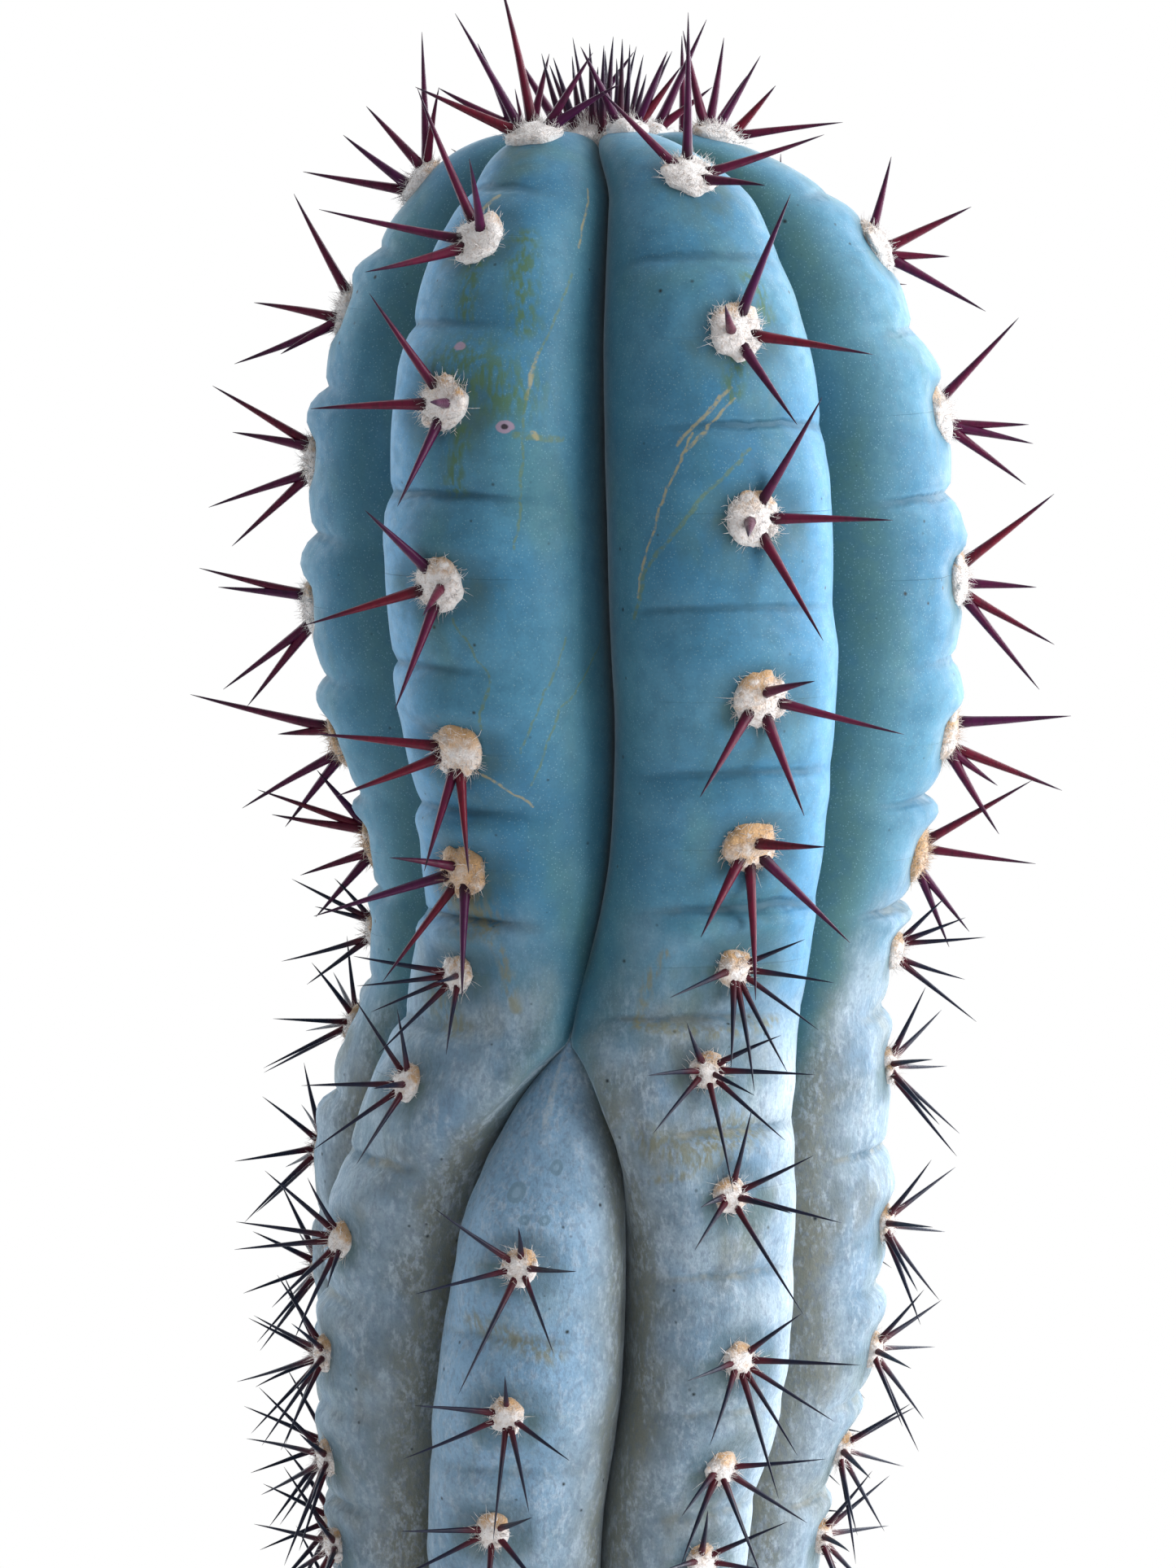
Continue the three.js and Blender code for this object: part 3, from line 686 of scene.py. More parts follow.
def areole_felt(builder, seat, depth, pad_radius, rng, fibres):
    """The felt of one areole: a cushion with small lumps on it and loose hairs."""
    tan = rng.uniform(0.35, 0.65) * ease(depth, 72, 102) * (1 - 0.6 * ease(depth, 112, 125))
    tone = 0.04 + 0.12 * ease(depth, 12, 40) * (depth < OLD_FROM_DEPTH) + tan
    height = PAD_HEIGHT * lerp(1, 0.85, ease(depth, 90, 125))
    add_pad(builder, seat, pad_radius, height, rng.uniform(1.02, 1.16), tone, rng.uniform(0, 50))
    for _ in range(6):
        hour = rng.uniform(0, 12)
        spot = pad_radius * rng.uniform(0.35, 0.85)
        lump = dict(seat, middle=seat["middle"] + toward(seat, hour, 0) * spot
                    + seat["out"] * height * (0.75 - 0.6 * spot / pad_radius))
        add_pad(builder, lump, pad_radius * rng.uniform(0.2, 0.4), height * rng.uniform(0.25, 0.45),
                rng.uniform(0.8, 1.3), np.clip(tone + rng.uniform(-0.35, 0.25), 0, 1),
                rng.uniform(0, 50), rings=7, sides=14)
    for _ in range(fibres):
        hour = rng.uniform(0, 12)
        spot = pad_radius * math.sqrt(rng.uniform(0.02, 1.1))
        edge = spot / pad_radius
        rise = rng.uniform(15, 80) * (1 - 0.6 * edge) + rng.uniform(-4, 14)
        level = height * math.sqrt(max(1 - edge**2, 0)) * 0.85
        base = seat["middle"] + toward(seat, hour, 0) * spot + seat["out"] * level
        length = rng.uniform(0.5, 1.5)
        turned_hour = hour + rng.normal(0, 2.2)
        add_fibre(builder, base, toward(seat, turned_hour, rise), length, rng.normal(0, 0.55, 3),
                  rng.uniform(0.035, 0.065), np.clip(tone + rng.uniform(-0.4, 0.15), 0, 1))


def make_areoles(grid, felt, spine):
    """Each areole that has a node in the frame is a piece; the others are joined rib by rib."""
    lower_felt, lower_spines = {}, {}
    for index, rib in enumerate(RIBS):
        rng = np.random.default_rng(AREOLE_SEED + index)
        depths = [d for d in areole_depths(rib) if d < AREOLES_TO_DEPTH]
        first, last = NAMED_DEPTHS_AT_BACK.get(rib["name"], NAMED_DEPTHS)
        number = 0
        for i, depth in enumerate(depths):
            own = first < depth < last
            number += own
            seat = seat_at(grid, index, depth)
            old = depth > OLD_FROM_DEPTH
            hours = rib["hours"][i] if i < len(rib["hours"]) else (OLD_HOURS if old else YOUNG_HOURS)
            pad_radius = PAD_RADIUS * lerp(1, OLD_PAD_SHARE, float(ease(depth, 104, 122)))
            fibres = COARSE_FIBRES
            if depth < NAMED_DEPTHS[1]:
                fibres = int(lerp(OLD_FIBRES, YOUNG_FIBRES, float(1 - ease(depth, 90, 130))))
            if own:
                felt_builder, spine_builder = Builder(), Builder()
            else:
                felt_builder = lower_felt.setdefault(rib["name"], Builder())
                spine_builder = lower_spines.setdefault(rib["name"], Builder())
            from_front = i < len(rib["hours"])
            areole_spines(spine_builder, seat, hours, depth, pad_radius, rng, from_front)
            areole_felt(felt_builder, seat, depth, pad_radius, rng, fibres)
            if own:
                label = f"{rib['name']}_{number:02d}"
                piece = spine_builder.make(f"areole_{label}_spines", spine, "spines")
                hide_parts(f"spines_{label}")
                felt_builder.make(f"areole_{label}_felt", felt, "felt")
    for name in lower_felt:
        lower_felt[name].make(f"lower_{name}_felt", felt, "felt")
        lower_spines[name].make(f"lower_{name}_spines", spine, "spines")


def make_crown(grid, felt, spine):
    """The woolly growing tip with its tuft of young upright spines."""
    rng = np.random.default_rng(CROWN_SEED)
    middle = grid["points"][0].mean(axis=0) + np.array([0, 0, 0.4])
    seat = dict(middle=middle, across=np.array([1.0, 0, 0]), along=np.array([0, 1.0, 0]),
                out=np.array([0, 0, 1.0]))
    wool, spines = Builder(), Builder()
    add_pad(wool, seat, TUFT_RADIUS, TUFT_HEIGHT, 1.0, 0.05, 2.5, rings=16, sides=48)
    for _ in range(TUFT_FIBRES):
        hour = rng.uniform(0, 12)
        spot = TUFT_RADIUS * math.sqrt(rng.uniform(0, 1.3))
        level = TUFT_HEIGHT * math.sqrt(max(1 - (spot / TUFT_RADIUS) ** 2, 0)) * 0.8
        base = middle + toward(seat, hour, 0) * spot + seat["out"] * level
        lift = rng.uniform(15, 85)
        add_fibre(wool, base, toward(seat, hour + rng.normal(0, 1.5), lift), rng.uniform(1.2, 3.4),
                  rng.normal(0, 0.5, 3), rng.uniform(0.045, 0.075), rng.uniform(0, 0.2))
    for i in range(TUFT_SPINES):
        hour = i * 12 * 0.618
        spot = TUFT_RADIUS * 0.9 * math.sqrt((i + 0.5) / TUFT_SPINES)
        base = middle + toward(seat, hour, 0) * spot + seat["out"] * 1.0
        rise = 88 - 22 * (spot / TUFT_RADIUS) + rng.uniform(-8, 4)
        add_spine(spines, base, toward(seat, hour + rng.normal(0, 0.8), rise), rng.uniform(9, 15),
                  SPINE_RADIUS * rng.uniform(0.7, 0.9), rng.normal(0, 0.4, 3), rng.uniform(), 0.35)
    # Newest areoles, between the tuft and the first full ones
    for name, hours in (("front_right", "0.6:0.75 1.3:0.6 11.2:0.85"), ("left", "11.3:0.8 0.4:0.65 9.8:0.7"),
                        ("back_left", "11:0.8 1.2:0.9"), ("back_right", "0.8 1.8:0.6")):
        tip_seat = seat_at(grid, rib_index(name), 0.9)
        areole_spines(spines, tip_seat, hours, 0, PAD_RADIUS * 0.7, rng, True)
        areole_felt(wool, tip_seat, 0, PAD_RADIUS * 0.75, rng, 160)
    piece = spines.make("crown_spines", spine, "spines")
    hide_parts("crown_tuft")
    wool.make("crown_wool", felt, "felt")


# ---------------------------------------------------------------- pot and soil

def pot_inner_radius(height):
    top = POT_TOP_RADIUS - RIM_BAND_STEP - POT_WALL
    return lerp(POT_BASE_RADIUS - POT_WALL, top, height / POT_HEIGHT)


def rounded(corners, radii, steps=6):
    """An outline through corner points, each rounded by an arc-like curve of the given size."""
    outline = []
    count = len(corners)
    for i, (corner, size) in enumerate(zip(corners, radii)):
        corner = np.array(corner, float)
        before = np.array(corners[i - 1], float) - corner
        after = np.array(corners[(i + 1) % count], float) - corner
        if size == 0:
            outline.append(corner)
            continue
        enter = corner + before / np.linalg.norm(before) * size
        leave = corner + after / np.linalg.norm(after) * size
        for t in np.linspace(0, 1, steps):
            outline.append((1 - t) ** 2 * enter + 2 * t * (1 - t) * corner + t**2 * leave)
    return np.array(outline)


def densify(outline, step):
    """Adds points to an outline so that none are further apart than `step`."""
    points = []
    for a, b in zip(outline, np.roll(outline, -1, axis=0)):
        pieces = max(int(np.ceil(np.linalg.norm(b - a) / step)), 1)
        points.extend(a + (b - a) * i / pieces for i in range(pieces))
    return np.array(points)


def make_pot(material):
    foot = POT_HEIGHT - RIM_BAND_HEIGHT
    body_top = pot_inner_radius(foot) + POT_WALL
    mouth = pot_inner_radius(POT_HEIGHT) + RIM_INNER_STEP
    r = EDGE_ROUNDING
    corners = [
        (DRAIN_HOLE_RADIUS, 0), (POT_BASE_RADIUS, 0), (body_top, foot), (POT_TOP_RADIUS - r, foot),
        (POT_TOP_RADIUS, foot + 0.5 * RIM_BAND_HEIGHT), (POT_TOP_RADIUS, POT_HEIGHT), (mouth, POT_HEIGHT),
        (pot_inner_radius(POT_FLOOR), POT_FLOOR), (DRAIN_HOLE_RADIUS, POT_FLOOR),
    ]
    radii = [1.2, r, 1.2, 1.6, 8, 1.5 * r, 1.2 * r, 6, 1.2]
    outline = densify(rounded(corners, radii), 2.4)
    sides = 220
    angle = np.arange(sides) * 2 * math.pi / sides
    radius, level = outline[:, 0][:, None], outline[:, 1][:, None]
    ripple = 0.1 * np.sin(level * 1.9 + 0.6 * np.sin(angle * 2)) * (radius > DRAIN_HOLE_RADIUS + 2)
    points = np.stack([radius * np.cos(angle), radius * np.sin(angle), level * np.ones(sides)], axis=-1)
    uneven = 0.3 * noise_at(points, 30, 4.4) + 0.1 * noise_at(points, 6, 8.1) + ripple
    inside = (uneven - 0.42) * (level > 0.5)
    points[..., 0] += inside * np.cos(angle)
    points[..., 1] += inside * np.sin(angle)
    ids = np.arange(len(outline) * sides).reshape(len(outline), sides)
    ids = np.concatenate([ids, ids[:1]])
    builder = Builder()
    builder.add(points, [face[::-1] for face in grid_faces(ids)], level=level * np.ones(sides))
    piece = builder.make("clay_pot", material, "terracotta")
    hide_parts("pot")


def soil_height(radius, x, y):
    rim = pot_inner_radius(SOIL_TOP)
    mound = SOIL_TOP - SOIL_MOUND * ease(radius, 40, rim) - 0.6
    points = np.stack([x, y, np.zeros_like(x)], axis=-1)
    return mound + 0.9 * noise_at(points, 14, 1.7) + 0.5 * noise_at(points, 4, 6.2) \
        + 0.3 * noise_at(points, 1.7, 2.9)


def make_soil(material):
    rim = pot_inner_radius(SOIL_TOP) + 1.6
    sides, rings = 260, 60
    angle = np.arange(sides) * 2 * math.pi / sides
    radius = np.linspace(SOIL_SOCKET_RADIUS, rim, rings)[:, None]
    x, y = radius * np.cos(angle), radius * np.sin(angle)
    top = np.stack([x, y, soil_height(radius * np.ones(sides), x, y)], axis=-1)
    inner, low = [
        np.stack([reach * np.cos(angle), reach * np.sin(angle), np.full(sides, POT_FLOOR + 0.6)], axis=-1)
        for reach in (SOIL_SOCKET_RADIUS, pot_inner_radius(POT_FLOOR + 2) - 1)
    ]
    points = np.concatenate([inner[None], top, low[None]])
    ids = np.arange(points.shape[0] * sides).reshape(-1, sides)
    builder = Builder()
    builder.add(points, grid_faces(np.concatenate([ids, ids[:1]])), tone=0.35)
    piece = builder.make("cactus_soil", material, "soil")
    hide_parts("soil")


def make_grit(material):
    """Small stones, pumice and crumbs lying on the soil."""
    rng = np.random.default_rng(STONE_SEED)
    golden = (1 + 5**0.5) / 2
    corners = np.array([(-1, golden, 0), (1, golden, 0), (-1, -golden, 0), (1, -golden, 0),
                        (0, -1, golden), (0, 1, golden), (0, -1, -golden), (0, 1, -golden),
                        (golden, 0, -1), (golden, 0, 1), (-golden, 0, -1), (-golden, 0, 1)]) / 1.9
    sides = [(0, 11, 5), (0, 5, 1), (0, 1, 7), (0, 7, 10), (0, 10, 11), (1, 5, 9), (5, 11, 4),
             (11, 10, 2), (10, 7, 6), (7, 1, 8), (3, 9, 4), (3, 4, 2), (3, 2, 6), (3, 6, 8),
             (3, 8, 9), (4, 9, 5), (2, 4, 11), (6, 2, 10), (8, 6, 7), (9, 8, 1)]
    rim = pot_inner_radius(SOIL_TOP)
    builder = Builder()
    for _ in range(STONES):
        size = 0.55 + 1.5 * rng.uniform() ** 3
        reach = math.sqrt(rng.uniform(34**2, (rim - size - 0.6) ** 2))
        turn = rng.uniform(0, 2 * math.pi)
        x, y = reach * math.cos(turn), reach * math.sin(turn)
        z = float(soil_height(np.array(reach), np.array(x), np.array(y)))
        stone = corners * (1 + rng.uniform(-0.25, 0.25, (12, 1))) * rng.uniform(0.65, 1.1, 3) * size
        spin = np.linalg.qr(rng.normal(size=(3, 3)))[0]
        if np.linalg.det(spin) < 0:
            spin[0] *= -1
        builder.add(stone @ spin + (x, y, z + 0.3 * size), sides, tone=rng.uniform())
    builder.make("soil_grit", material, "soil")


# ---------------------------------------------------------------- materials

class Paint:
    """The nodes of a material or of the world, with short calls to wire them."""

    def __init__(self, owner, shader="Principled BSDF"):
        owner.use_nodes = True
        self.owner = owner
        self.tree = owner.node_tree
        self.shader = self.tree.nodes[shader]

    def node(self, kind, **settings):
        node = self.tree.nodes.new(kind)
        for key, value in settings.items():
            setattr(node, key, value)
        return node

    def put(self, socket, value):
        if isinstance(value, bpy.types.NodeSocket):
            self.tree.links.new(value, socket)
        elif isinstance(value, tuple) and len(value) == 3 and socket.type == "RGBA":
            socket.default_value = (*value, 1)
        else:
            socket.default_value = value

    def place(self, stretch=(1, 1, 1)):
        """The position on the object in mm, stretched for grain."""
        coordinates = self.node("ShaderNodeTexCoord").outputs["Object"]
        scaled = self.node("ShaderNodeVectorMath", operation="MULTIPLY")
        self.put(scaled.inputs[0], coordinates)
        self.put(scaled.inputs[1], tuple(axis / MM for axis in stretch))
        return scaled.outputs[0]

    def value(self, name):
        return self.node("ShaderNodeAttribute", attribute_name=name).outputs["Fac"]

    def math(self, operation, a, b=0.0, clamp=False):
        node = self.node("ShaderNodeMath", operation=operation, use_clamp=clamp)
        self.put(node.inputs[0], a)
        self.put(node.inputs[1], b)
        return node.outputs[0]

    def times(self, a, b, clamp=False):
        return self.math("MULTIPLY", a, b, clamp)

    def ramp(self, value, low, high, to_low=0.0, to_high=1.0):
        node = self.node("ShaderNodeMapRange", interpolation_type="SMOOTHSTEP")
        for socket, number in zip(node.inputs, (value, low, high, to_low, to_high)):
            self.put(socket, number)
        return node.outputs[0]

    def noise(self, size, detail=2.0, stretch=(1, 1, 1), roughness=0.5):
        node = self.node("ShaderNodeTexNoise")
        self.put(node.inputs["Vector"], self.place(stretch))
        node.inputs["Scale"].default_value = 1 / size
        node.inputs["Detail"].default_value = detail
        node.inputs["Roughness"].default_value = roughness
        return node.outputs["Fac"]

    def cells(self, size):
        node = self.node("ShaderNodeTexVoronoi")
        self.put(node.inputs["Vector"], self.place())
        node.inputs["Scale"].default_value = 1 / size
        return node.outputs

    def mix(self, share, a, b):
        node = self.node("ShaderNodeMix", data_type="RGBA")
        self.put(node.inputs["Factor"], share)
        self.put(node.inputs[6], a)
        self.put(node.inputs[7], b)
        return node.outputs[2]

    def spots(self, size, radius, share):
        """Round spots: about `share` of the cells of `size` mm hold one of `radius` mm."""
        cells = self.cells(size)
        pick = self.node("ShaderNodeSeparateColor")
        self.put(pick.inputs[0], cells["Color"])
        chosen = self.math("LESS_THAN", pick.outputs[0], share)
        reach = self.times(pick.outputs[1], radius / size)
        inside = self.math("SUBTRACT", reach, cells["Distance"])
        soft = self.times(inside, 6 * size / radius / 4, clamp=True)
        return self.times(soft, chosen)

    def bump(self, height, distance, strength=1.0, under=None):
        node = self.node("ShaderNodeBump")
        node.inputs["Strength"].default_value = strength
        node.inputs["Distance"].default_value = distance * MM
        self.put(node.inputs["Height"], height)
        if under is not None:
            self.put(node.inputs["Normal"], under)
        return node.outputs[0]

    def finish(self, colour, roughness, normal=None, **constants):
        self.put(self.shader.inputs["Base Color"], colour)
        self.put(self.shader.inputs["Roughness"], roughness)
        if normal is not None:
            self.put(self.shader.inputs["Normal"], normal)
        for key, value in constants.items():
            self.put(self.shader.inputs[key.replace("_", " ")], value)
        return self.owner


def near_stroke(paint, place, start, end):
    """Distance (mm) from a place to the straight line between two points."""
    start, end = Vector(start), Vector(end)
    span = end - start
    offset = paint.node("ShaderNodeVectorMath", operation="SUBTRACT")
    paint.put(offset.inputs[0], place)
    paint.put(offset.inputs[1], tuple(start))
    dot = paint.node("ShaderNodeVectorMath", operation="DOT_PRODUCT")
    paint.put(dot.inputs[0], offset.outputs[0])
    paint.put(dot.inputs[1], tuple(span / span.length_squared))
    share = paint.times(dot.outputs["Value"], 1.0, clamp=True)
    along = paint.node("ShaderNodeVectorMath", operation="SCALE")
    paint.put(along.inputs[0], tuple(span))
    paint.put(along.inputs["Scale"], share)
    apart = paint.node("ShaderNodeVectorMath", operation="DISTANCE")
    paint.put(apart.inputs[0], offset.outputs[0])
    paint.put(apart.inputs[1], along.outputs[0])
    return apart.outputs["Value"]


# Marks on the skin: kind, rib, width in mm, then the depth and side of each bend. The pale strokes are
# painted highlights along the lips and the keel where the new rib starts.
TAN, OLIVE, SMEAR, MOSS = (0.36, 0.31, 0.17), (0.13, 0.19, 0.08), (0.075, 0.155, 0.075), (0.19, 0.19, 0.12)
LIP_HIGHLIGHT = (0.43, 0.50, 0.55)
STRENGTH = {TAN: 0.78, OLIVE: 0.6, SMEAR: 0.9, MOSS: 0.75, LIP_HIGHLIGHT: 0.65}
MARKS = [
    (TAN, "front_right", 0.27, (37.5, -0.06), (45.5, -0.29)),
    (TAN, "front_right", 0.22, (39, -0.04), (46.5, -0.25)),
    (TAN, "front_right", 0.18, (44, -0.22), (54, -0.38), (67, -0.52)),
    (OLIVE, "front_right", 0.28, (46, 0), (52, -0.18), (63, -0.46), (70, -0.54)),
    (SMEAR, "front_right", 0.9, (33.5, -0.02), (38.5, -0.05)),
    (SMEAR, "front_right", 0.8, (22, 0.1), (28, 0.16)),
    (TAN, "front_left", 0.42, (11, 0), (13, -0.06)),
    (TAN, "front_left", 0.26, (8.5, 0.62), (17, 0.6)),
    (TAN, "front_left", 0.26, (32.5, 0.42), (39, 0.38)),
    (OLIVE, "front_left", 0.22, (21, 0.56), (29, 0.46), (33, 0.42)),
    (OLIVE, "front_left", 0.2, (39, 0.38), (60, 0.34)),
    (SMEAR, "front_left", 1.4, (17, 0.26), (29, 0.34)),
    (SMEAR, "front_left", 1.0, (20, 0.04), (27.5, 0.04)),
    (SMEAR, "front_left", 3.4, (35, 0.1), (38, 0.28)),
    (SMEAR, "front_left", 0.9, (44, 0.1), (52, 0.06)),
    (OLIVE, "front_left", 0.6, (44, 0.34), (44.5, 0.55)),
    (TAN, "front_left", 0.4, (43.6, 0.42), (44.4, 0.43)),
    (OLIVE, "front_left", 0.18, (70, 0.06), (79, 0.2), (86, 0.14)),
    (OLIVE, "front_left", 0.18, (73, 0.56), (89, 0.3)),
    (OLIVE, "front_left", 0.16, (74, 0.8), (83, 0.5), (94, 0.34)),
    (TAN, "front_left", 0.2, (92.4, 0.12), (97, 0.36)),
    (MOSS, "front_right", 0.5, (118, -0.3), (122, -0.36), (128.4, -0.35)),
    (MOSS, "front_right", 0.7, (128.4, -0.35), (129.8, 0), (129, 0.3)),
    (MOSS, "front_right", 2.2, (145, -0.5), (147, -0.15), (143.5, 0.15)),
    (MOSS, "front_right", 0.5, (150.5, -0.55), (149.5, -0.25), (145, 0)),
    (MOSS, "front_left", 0.6, (111, 0.02), (119, 0.24), (127, 0.4)),
    (MOSS, "front_left", 2.4, (109, -0.1), (114, 0.06)),
    (MOSS, "front_left", 1.4, (126, -0.1), (130, 0.1)),
    (MOSS, "front_middle", 1.3, (171.5, -0.25), (175.5, 0.2)),
    # Painted highlights along the lips of the ribs beside the new one and down its keel
    (LIP_HIGHLIGHT, "front_left", 1.3, (131, 0.98), (136, 0.86), (143, 0.72)),
    (LIP_HIGHLIGHT, "front_right", 1.1, (131.5, -0.97), (136, -0.86), (143, -0.8)),
    (LIP_HIGHLIGHT, "front_middle", 1.3, (131, -0.2), (137, -0.04), (143, 0)),
]
WAVER = 1.2
PINK, WAX = (0.36, 0.25, 0.33), (0.23, 0.35, 0.46)
DARK, WAX_EDGE = (0.035, 0.025, 0.035), (0.15, 0.25, 0.33)
RINGS = [
    ("front_left", 43, 0.29, 0.95, PINK, DARK), ("front_left", 32, 0.06, 0.6, PINK, PINK),
    ("front_middle", 152.5, -0.1, 1.5, WAX_EDGE, WAX), ("front_middle", 149, 0.15, 1.1, WAX_EDGE, WAX),
    ("front_middle", 156, 0.12, 0.8, WAX_EDGE, WAX), ("front_middle", 156, 0, 0.8, WAX_EDGE, WAX),
]


def on_skin(name, depth, side):
    """A place on the unrolled skin, in mm around and down."""
    return Vector(((2 * rib_index(name) + side) * HALF_RIB, depth, 0))


def paint_marks(p, colour):
    """Healed scratches, rubbed smears and ring scars over the skin's own colour, and painted highlights along
    the lips.
    """
    unrolled = p.node("ShaderNodeCombineXYZ")
    p.put(unrolled.inputs[0], p.value("around"))
    p.put(unrolled.inputs[1], p.value("depth"))
    # Strokes waver by noise that is scaled to `WAVER` mm; `back` takes out its average
    jitter = p.node("ShaderNodeTexNoise")
    p.put(jitter.inputs["Vector"], p.place())
    jitter.inputs["Scale"].default_value = 1 / 3.0
    jitter.inputs["Detail"].default_value = 3
    shake = p.node("ShaderNodeVectorMath", operation="MULTIPLY")
    p.put(shake.inputs[0], jitter.outputs["Color"])
    p.put(shake.inputs[1], (WAVER, WAVER, 0))
    moved = p.node("ShaderNodeVectorMath", operation="ADD")
    p.put(moved.inputs[0], unrolled.outputs[0])
    p.put(moved.inputs[1], shake.outputs[0])
    back = Vector((WAVER / 2, WAVER / 2, 0))
    broken = p.ramp(p.noise(0.7, 4), 0.36, 0.54, 0.25, 1)
    frayed = p.ramp(p.noise(0.8, 5, (1, 1, 0.35)), 0.38, 0.62, 0, 1)
    for kind, name, width, *bends in MARKS:
        points = [on_skin(name, *bend) + back for bend in bends]
        apart = near_stroke(p, moved.outputs[0], points[0], points[1])
        for a, b in zip(points[1:], points[2:]):
            apart = p.math("MINIMUM", apart, near_stroke(p, moved.outputs[0], a, b))
        rubbed = kind in (SMEAR, MOSS)
        share = p.ramp(apart, width * (2.0 if rubbed else 1.1), width * (0.2 if rubbed else 0.4))
        share = p.times(share, frayed if rubbed else broken)
        colour = p.mix(p.times(share, STRENGTH[kind]), colour, kind)
    for name, depth, side, radius, ring, inside in RINGS:
        apart = p.node("ShaderNodeVectorMath", operation="DISTANCE")
        p.put(apart.inputs[0], unrolled.outputs[0])
        p.put(apart.inputs[1], tuple(on_skin(name, depth, side)))
        reach = p.math("ADD", apart.outputs["Value"], p.times(p.noise(1.2, 2), 0.5))
        colour = p.mix(p.ramp(reach, radius + 0.3, radius + 0.1, 0, 0.85), colour, ring)
        colour = p.mix(p.ramp(reach, 0.75 * radius, 0.5 * radius), colour, inside)
    return colour


def skin_material():
    """Waxy blue skin: young and clear above, weathered, pale and stained below."""
    p = Paint(bpy.data.materials.new("blue_skin"))
    age = p.value("age")
    height = p.value("height")
    broad = p.noise(24, 3)
    middle = p.noise(7, 4)
    fine = p.noise(1.6, 3)
    grain = p.noise(0.42, 2)
    streaks = p.noise(1.5, 5, (1, 1, 0.5), 0.7)

    young = p.mix(p.ramp(broad, 0.35, 0.65), (0.038, 0.180, 0.315), (0.072, 0.238, 0.360))
    young = p.mix(p.ramp(middle, 0.45, 0.75, 0, 0.5), young, (0.095, 0.265, 0.385))
    olive_film = p.ramp(p.noise(11, 4, (1, 1, 0.45)), 0.5, 0.7, 0, 0.55)
    young = p.mix(olive_film, young, (0.070, 0.195, 0.205))
    # Olive tint with painted shade down the flanks, away from the crest
    film_and_flank_shade = p.times(p.value("film_and_flank_shade"), p.ramp(p.noise(13, 4, (1, 1, 0.4)), 0.25, 0.55, 0.45, 1))
    young = p.mix(p.times(film_and_flank_shade, 0.85), young, (0.062, 0.150, 0.135))
    # Painted highlight: brighter, bluer colour along the lit limbs
    young = p.mix(p.times(p.value("rim"), 0.8), young, (0.100, 0.310, 0.540))
    young = p.mix(p.ramp(p.noise(2.3, 4), 0.42, 0.68, 0, 0.3), young, (0.030, 0.120, 0.200))

    old = p.mix(p.ramp(middle, 0.36, 0.64), (0.190, 0.280, 0.365), (0.295, 0.380, 0.455))
    old = p.mix(p.ramp(p.noise(15, 3), 0.48, 0.7, 0, 0.65), old, (0.130, 0.250, 0.385))
    tan = p.ramp(p.noise(9, 5, (1, 1, 0.6)), 0.48, 0.68, 0, 0.6)
    old = p.mix(tan, old, (0.225, 0.220, 0.180))
    # Painted shade: the old skin turns darker olive-brown down the flanks, away from the crest
    brown_flank_shade = p.ramp(p.math("ADD", height, p.times(middle, 0.5)), 1.2, 0.8, 0, 0.8)
    old = p.mix(brown_flank_shade, old, (0.178, 0.172, 0.122))
    old = p.mix(p.times(p.value("fresh"), 0.7), old, (0.225, 0.405, 0.600))
    old = p.mix(p.ramp(streaks, 0.5, 0.66, 0, 0.45), old, (0.43, 0.50, 0.575))
    flakes = p.ramp(p.noise(0.8, 5, (1, 1, 0.55), 0.7), 0.46, 0.62)
    flaking = p.times(flakes, p.ramp(p.noise(6, 5, (1, 1, 0.6), 0.6), 0.46, 0.6))
    old = p.mix(p.times(flaking, 0.42), old, (0.52, 0.60, 0.68))
    # Pale wax bloom and painted highlight on the lit right limb of front_right
    bloom = p.times(p.value("bloom"), p.ramp(middle, 0.3, 0.6, 0.5, 0.9))
    old = p.mix(bloom, old, (0.52, 0.60, 0.68))
    old = p.mix(p.ramp(p.noise(0.8, 4, (1, 1, 0.6), 0.6), 0.38, 0.5, 0.35, 0), old, (0.13, 0.165, 0.225))
    edge = p.math("ADD", age, p.times(p.math("SUBTRACT", middle, 0.5), 0.5))
    colour = p.mix(p.ramp(edge, 0.12, 0.88), young, old)

    # Weathering to cork near the soil
    corky = p.ramp(p.math("ADD", p.value("depth"), p.times(middle, 90)), 400, 520, 0, 0.8)
    colour = p.mix(corky, colour, (0.235, 0.19, 0.13))

    # Shade deep in the valleys
    deep = p.times(p.ramp(height, 0.32, 0.0, 0, 0.62), p.value("shade"))
    colour = p.mix(deep, colour, p.mix(age, (0.020, 0.060, 0.070), (0.050, 0.048, 0.038)))

    # Stipple of pale wax dots and black specks
    dots = p.cells(0.44)["Distance"]
    pale = p.ramp(dots, 0.28, 0.08, 0, 0.55)
    colour = p.mix(p.times(pale, p.math("SUBTRACT", 1.0, age)), colour, (0.24, 0.42, 0.48))
    colour = p.mix(p.ramp(grain, 0.3, 0.7, 0.16, 0.0), colour, (0.03, 0.09, 0.13))
    colour = p.mix(p.spots(2.6, 0.44, 0.45), colour, (0.012, 0.02, 0.025))
    colour = p.mix(p.spots(9.5, 0.7, 0.3), colour, (0.24, 0.20, 0.10))

    # Olive stain below the areoles, and painted shade in a darker ring around them
    stain = p.times(p.value("below"), p.ramp(p.noise(3.5, 4, (1, 1, 0.5)), 0.38, 0.62))
    colour = p.mix(p.times(stain, 0.7), colour, (0.09, 0.14, 0.075))
    pad_ring_shade = p.ramp(p.value("pad"), 6.5, 3.8, 0, 0.4)
    colour = p.mix(pad_ring_shade, colour, (0.045, 0.10, 0.115))

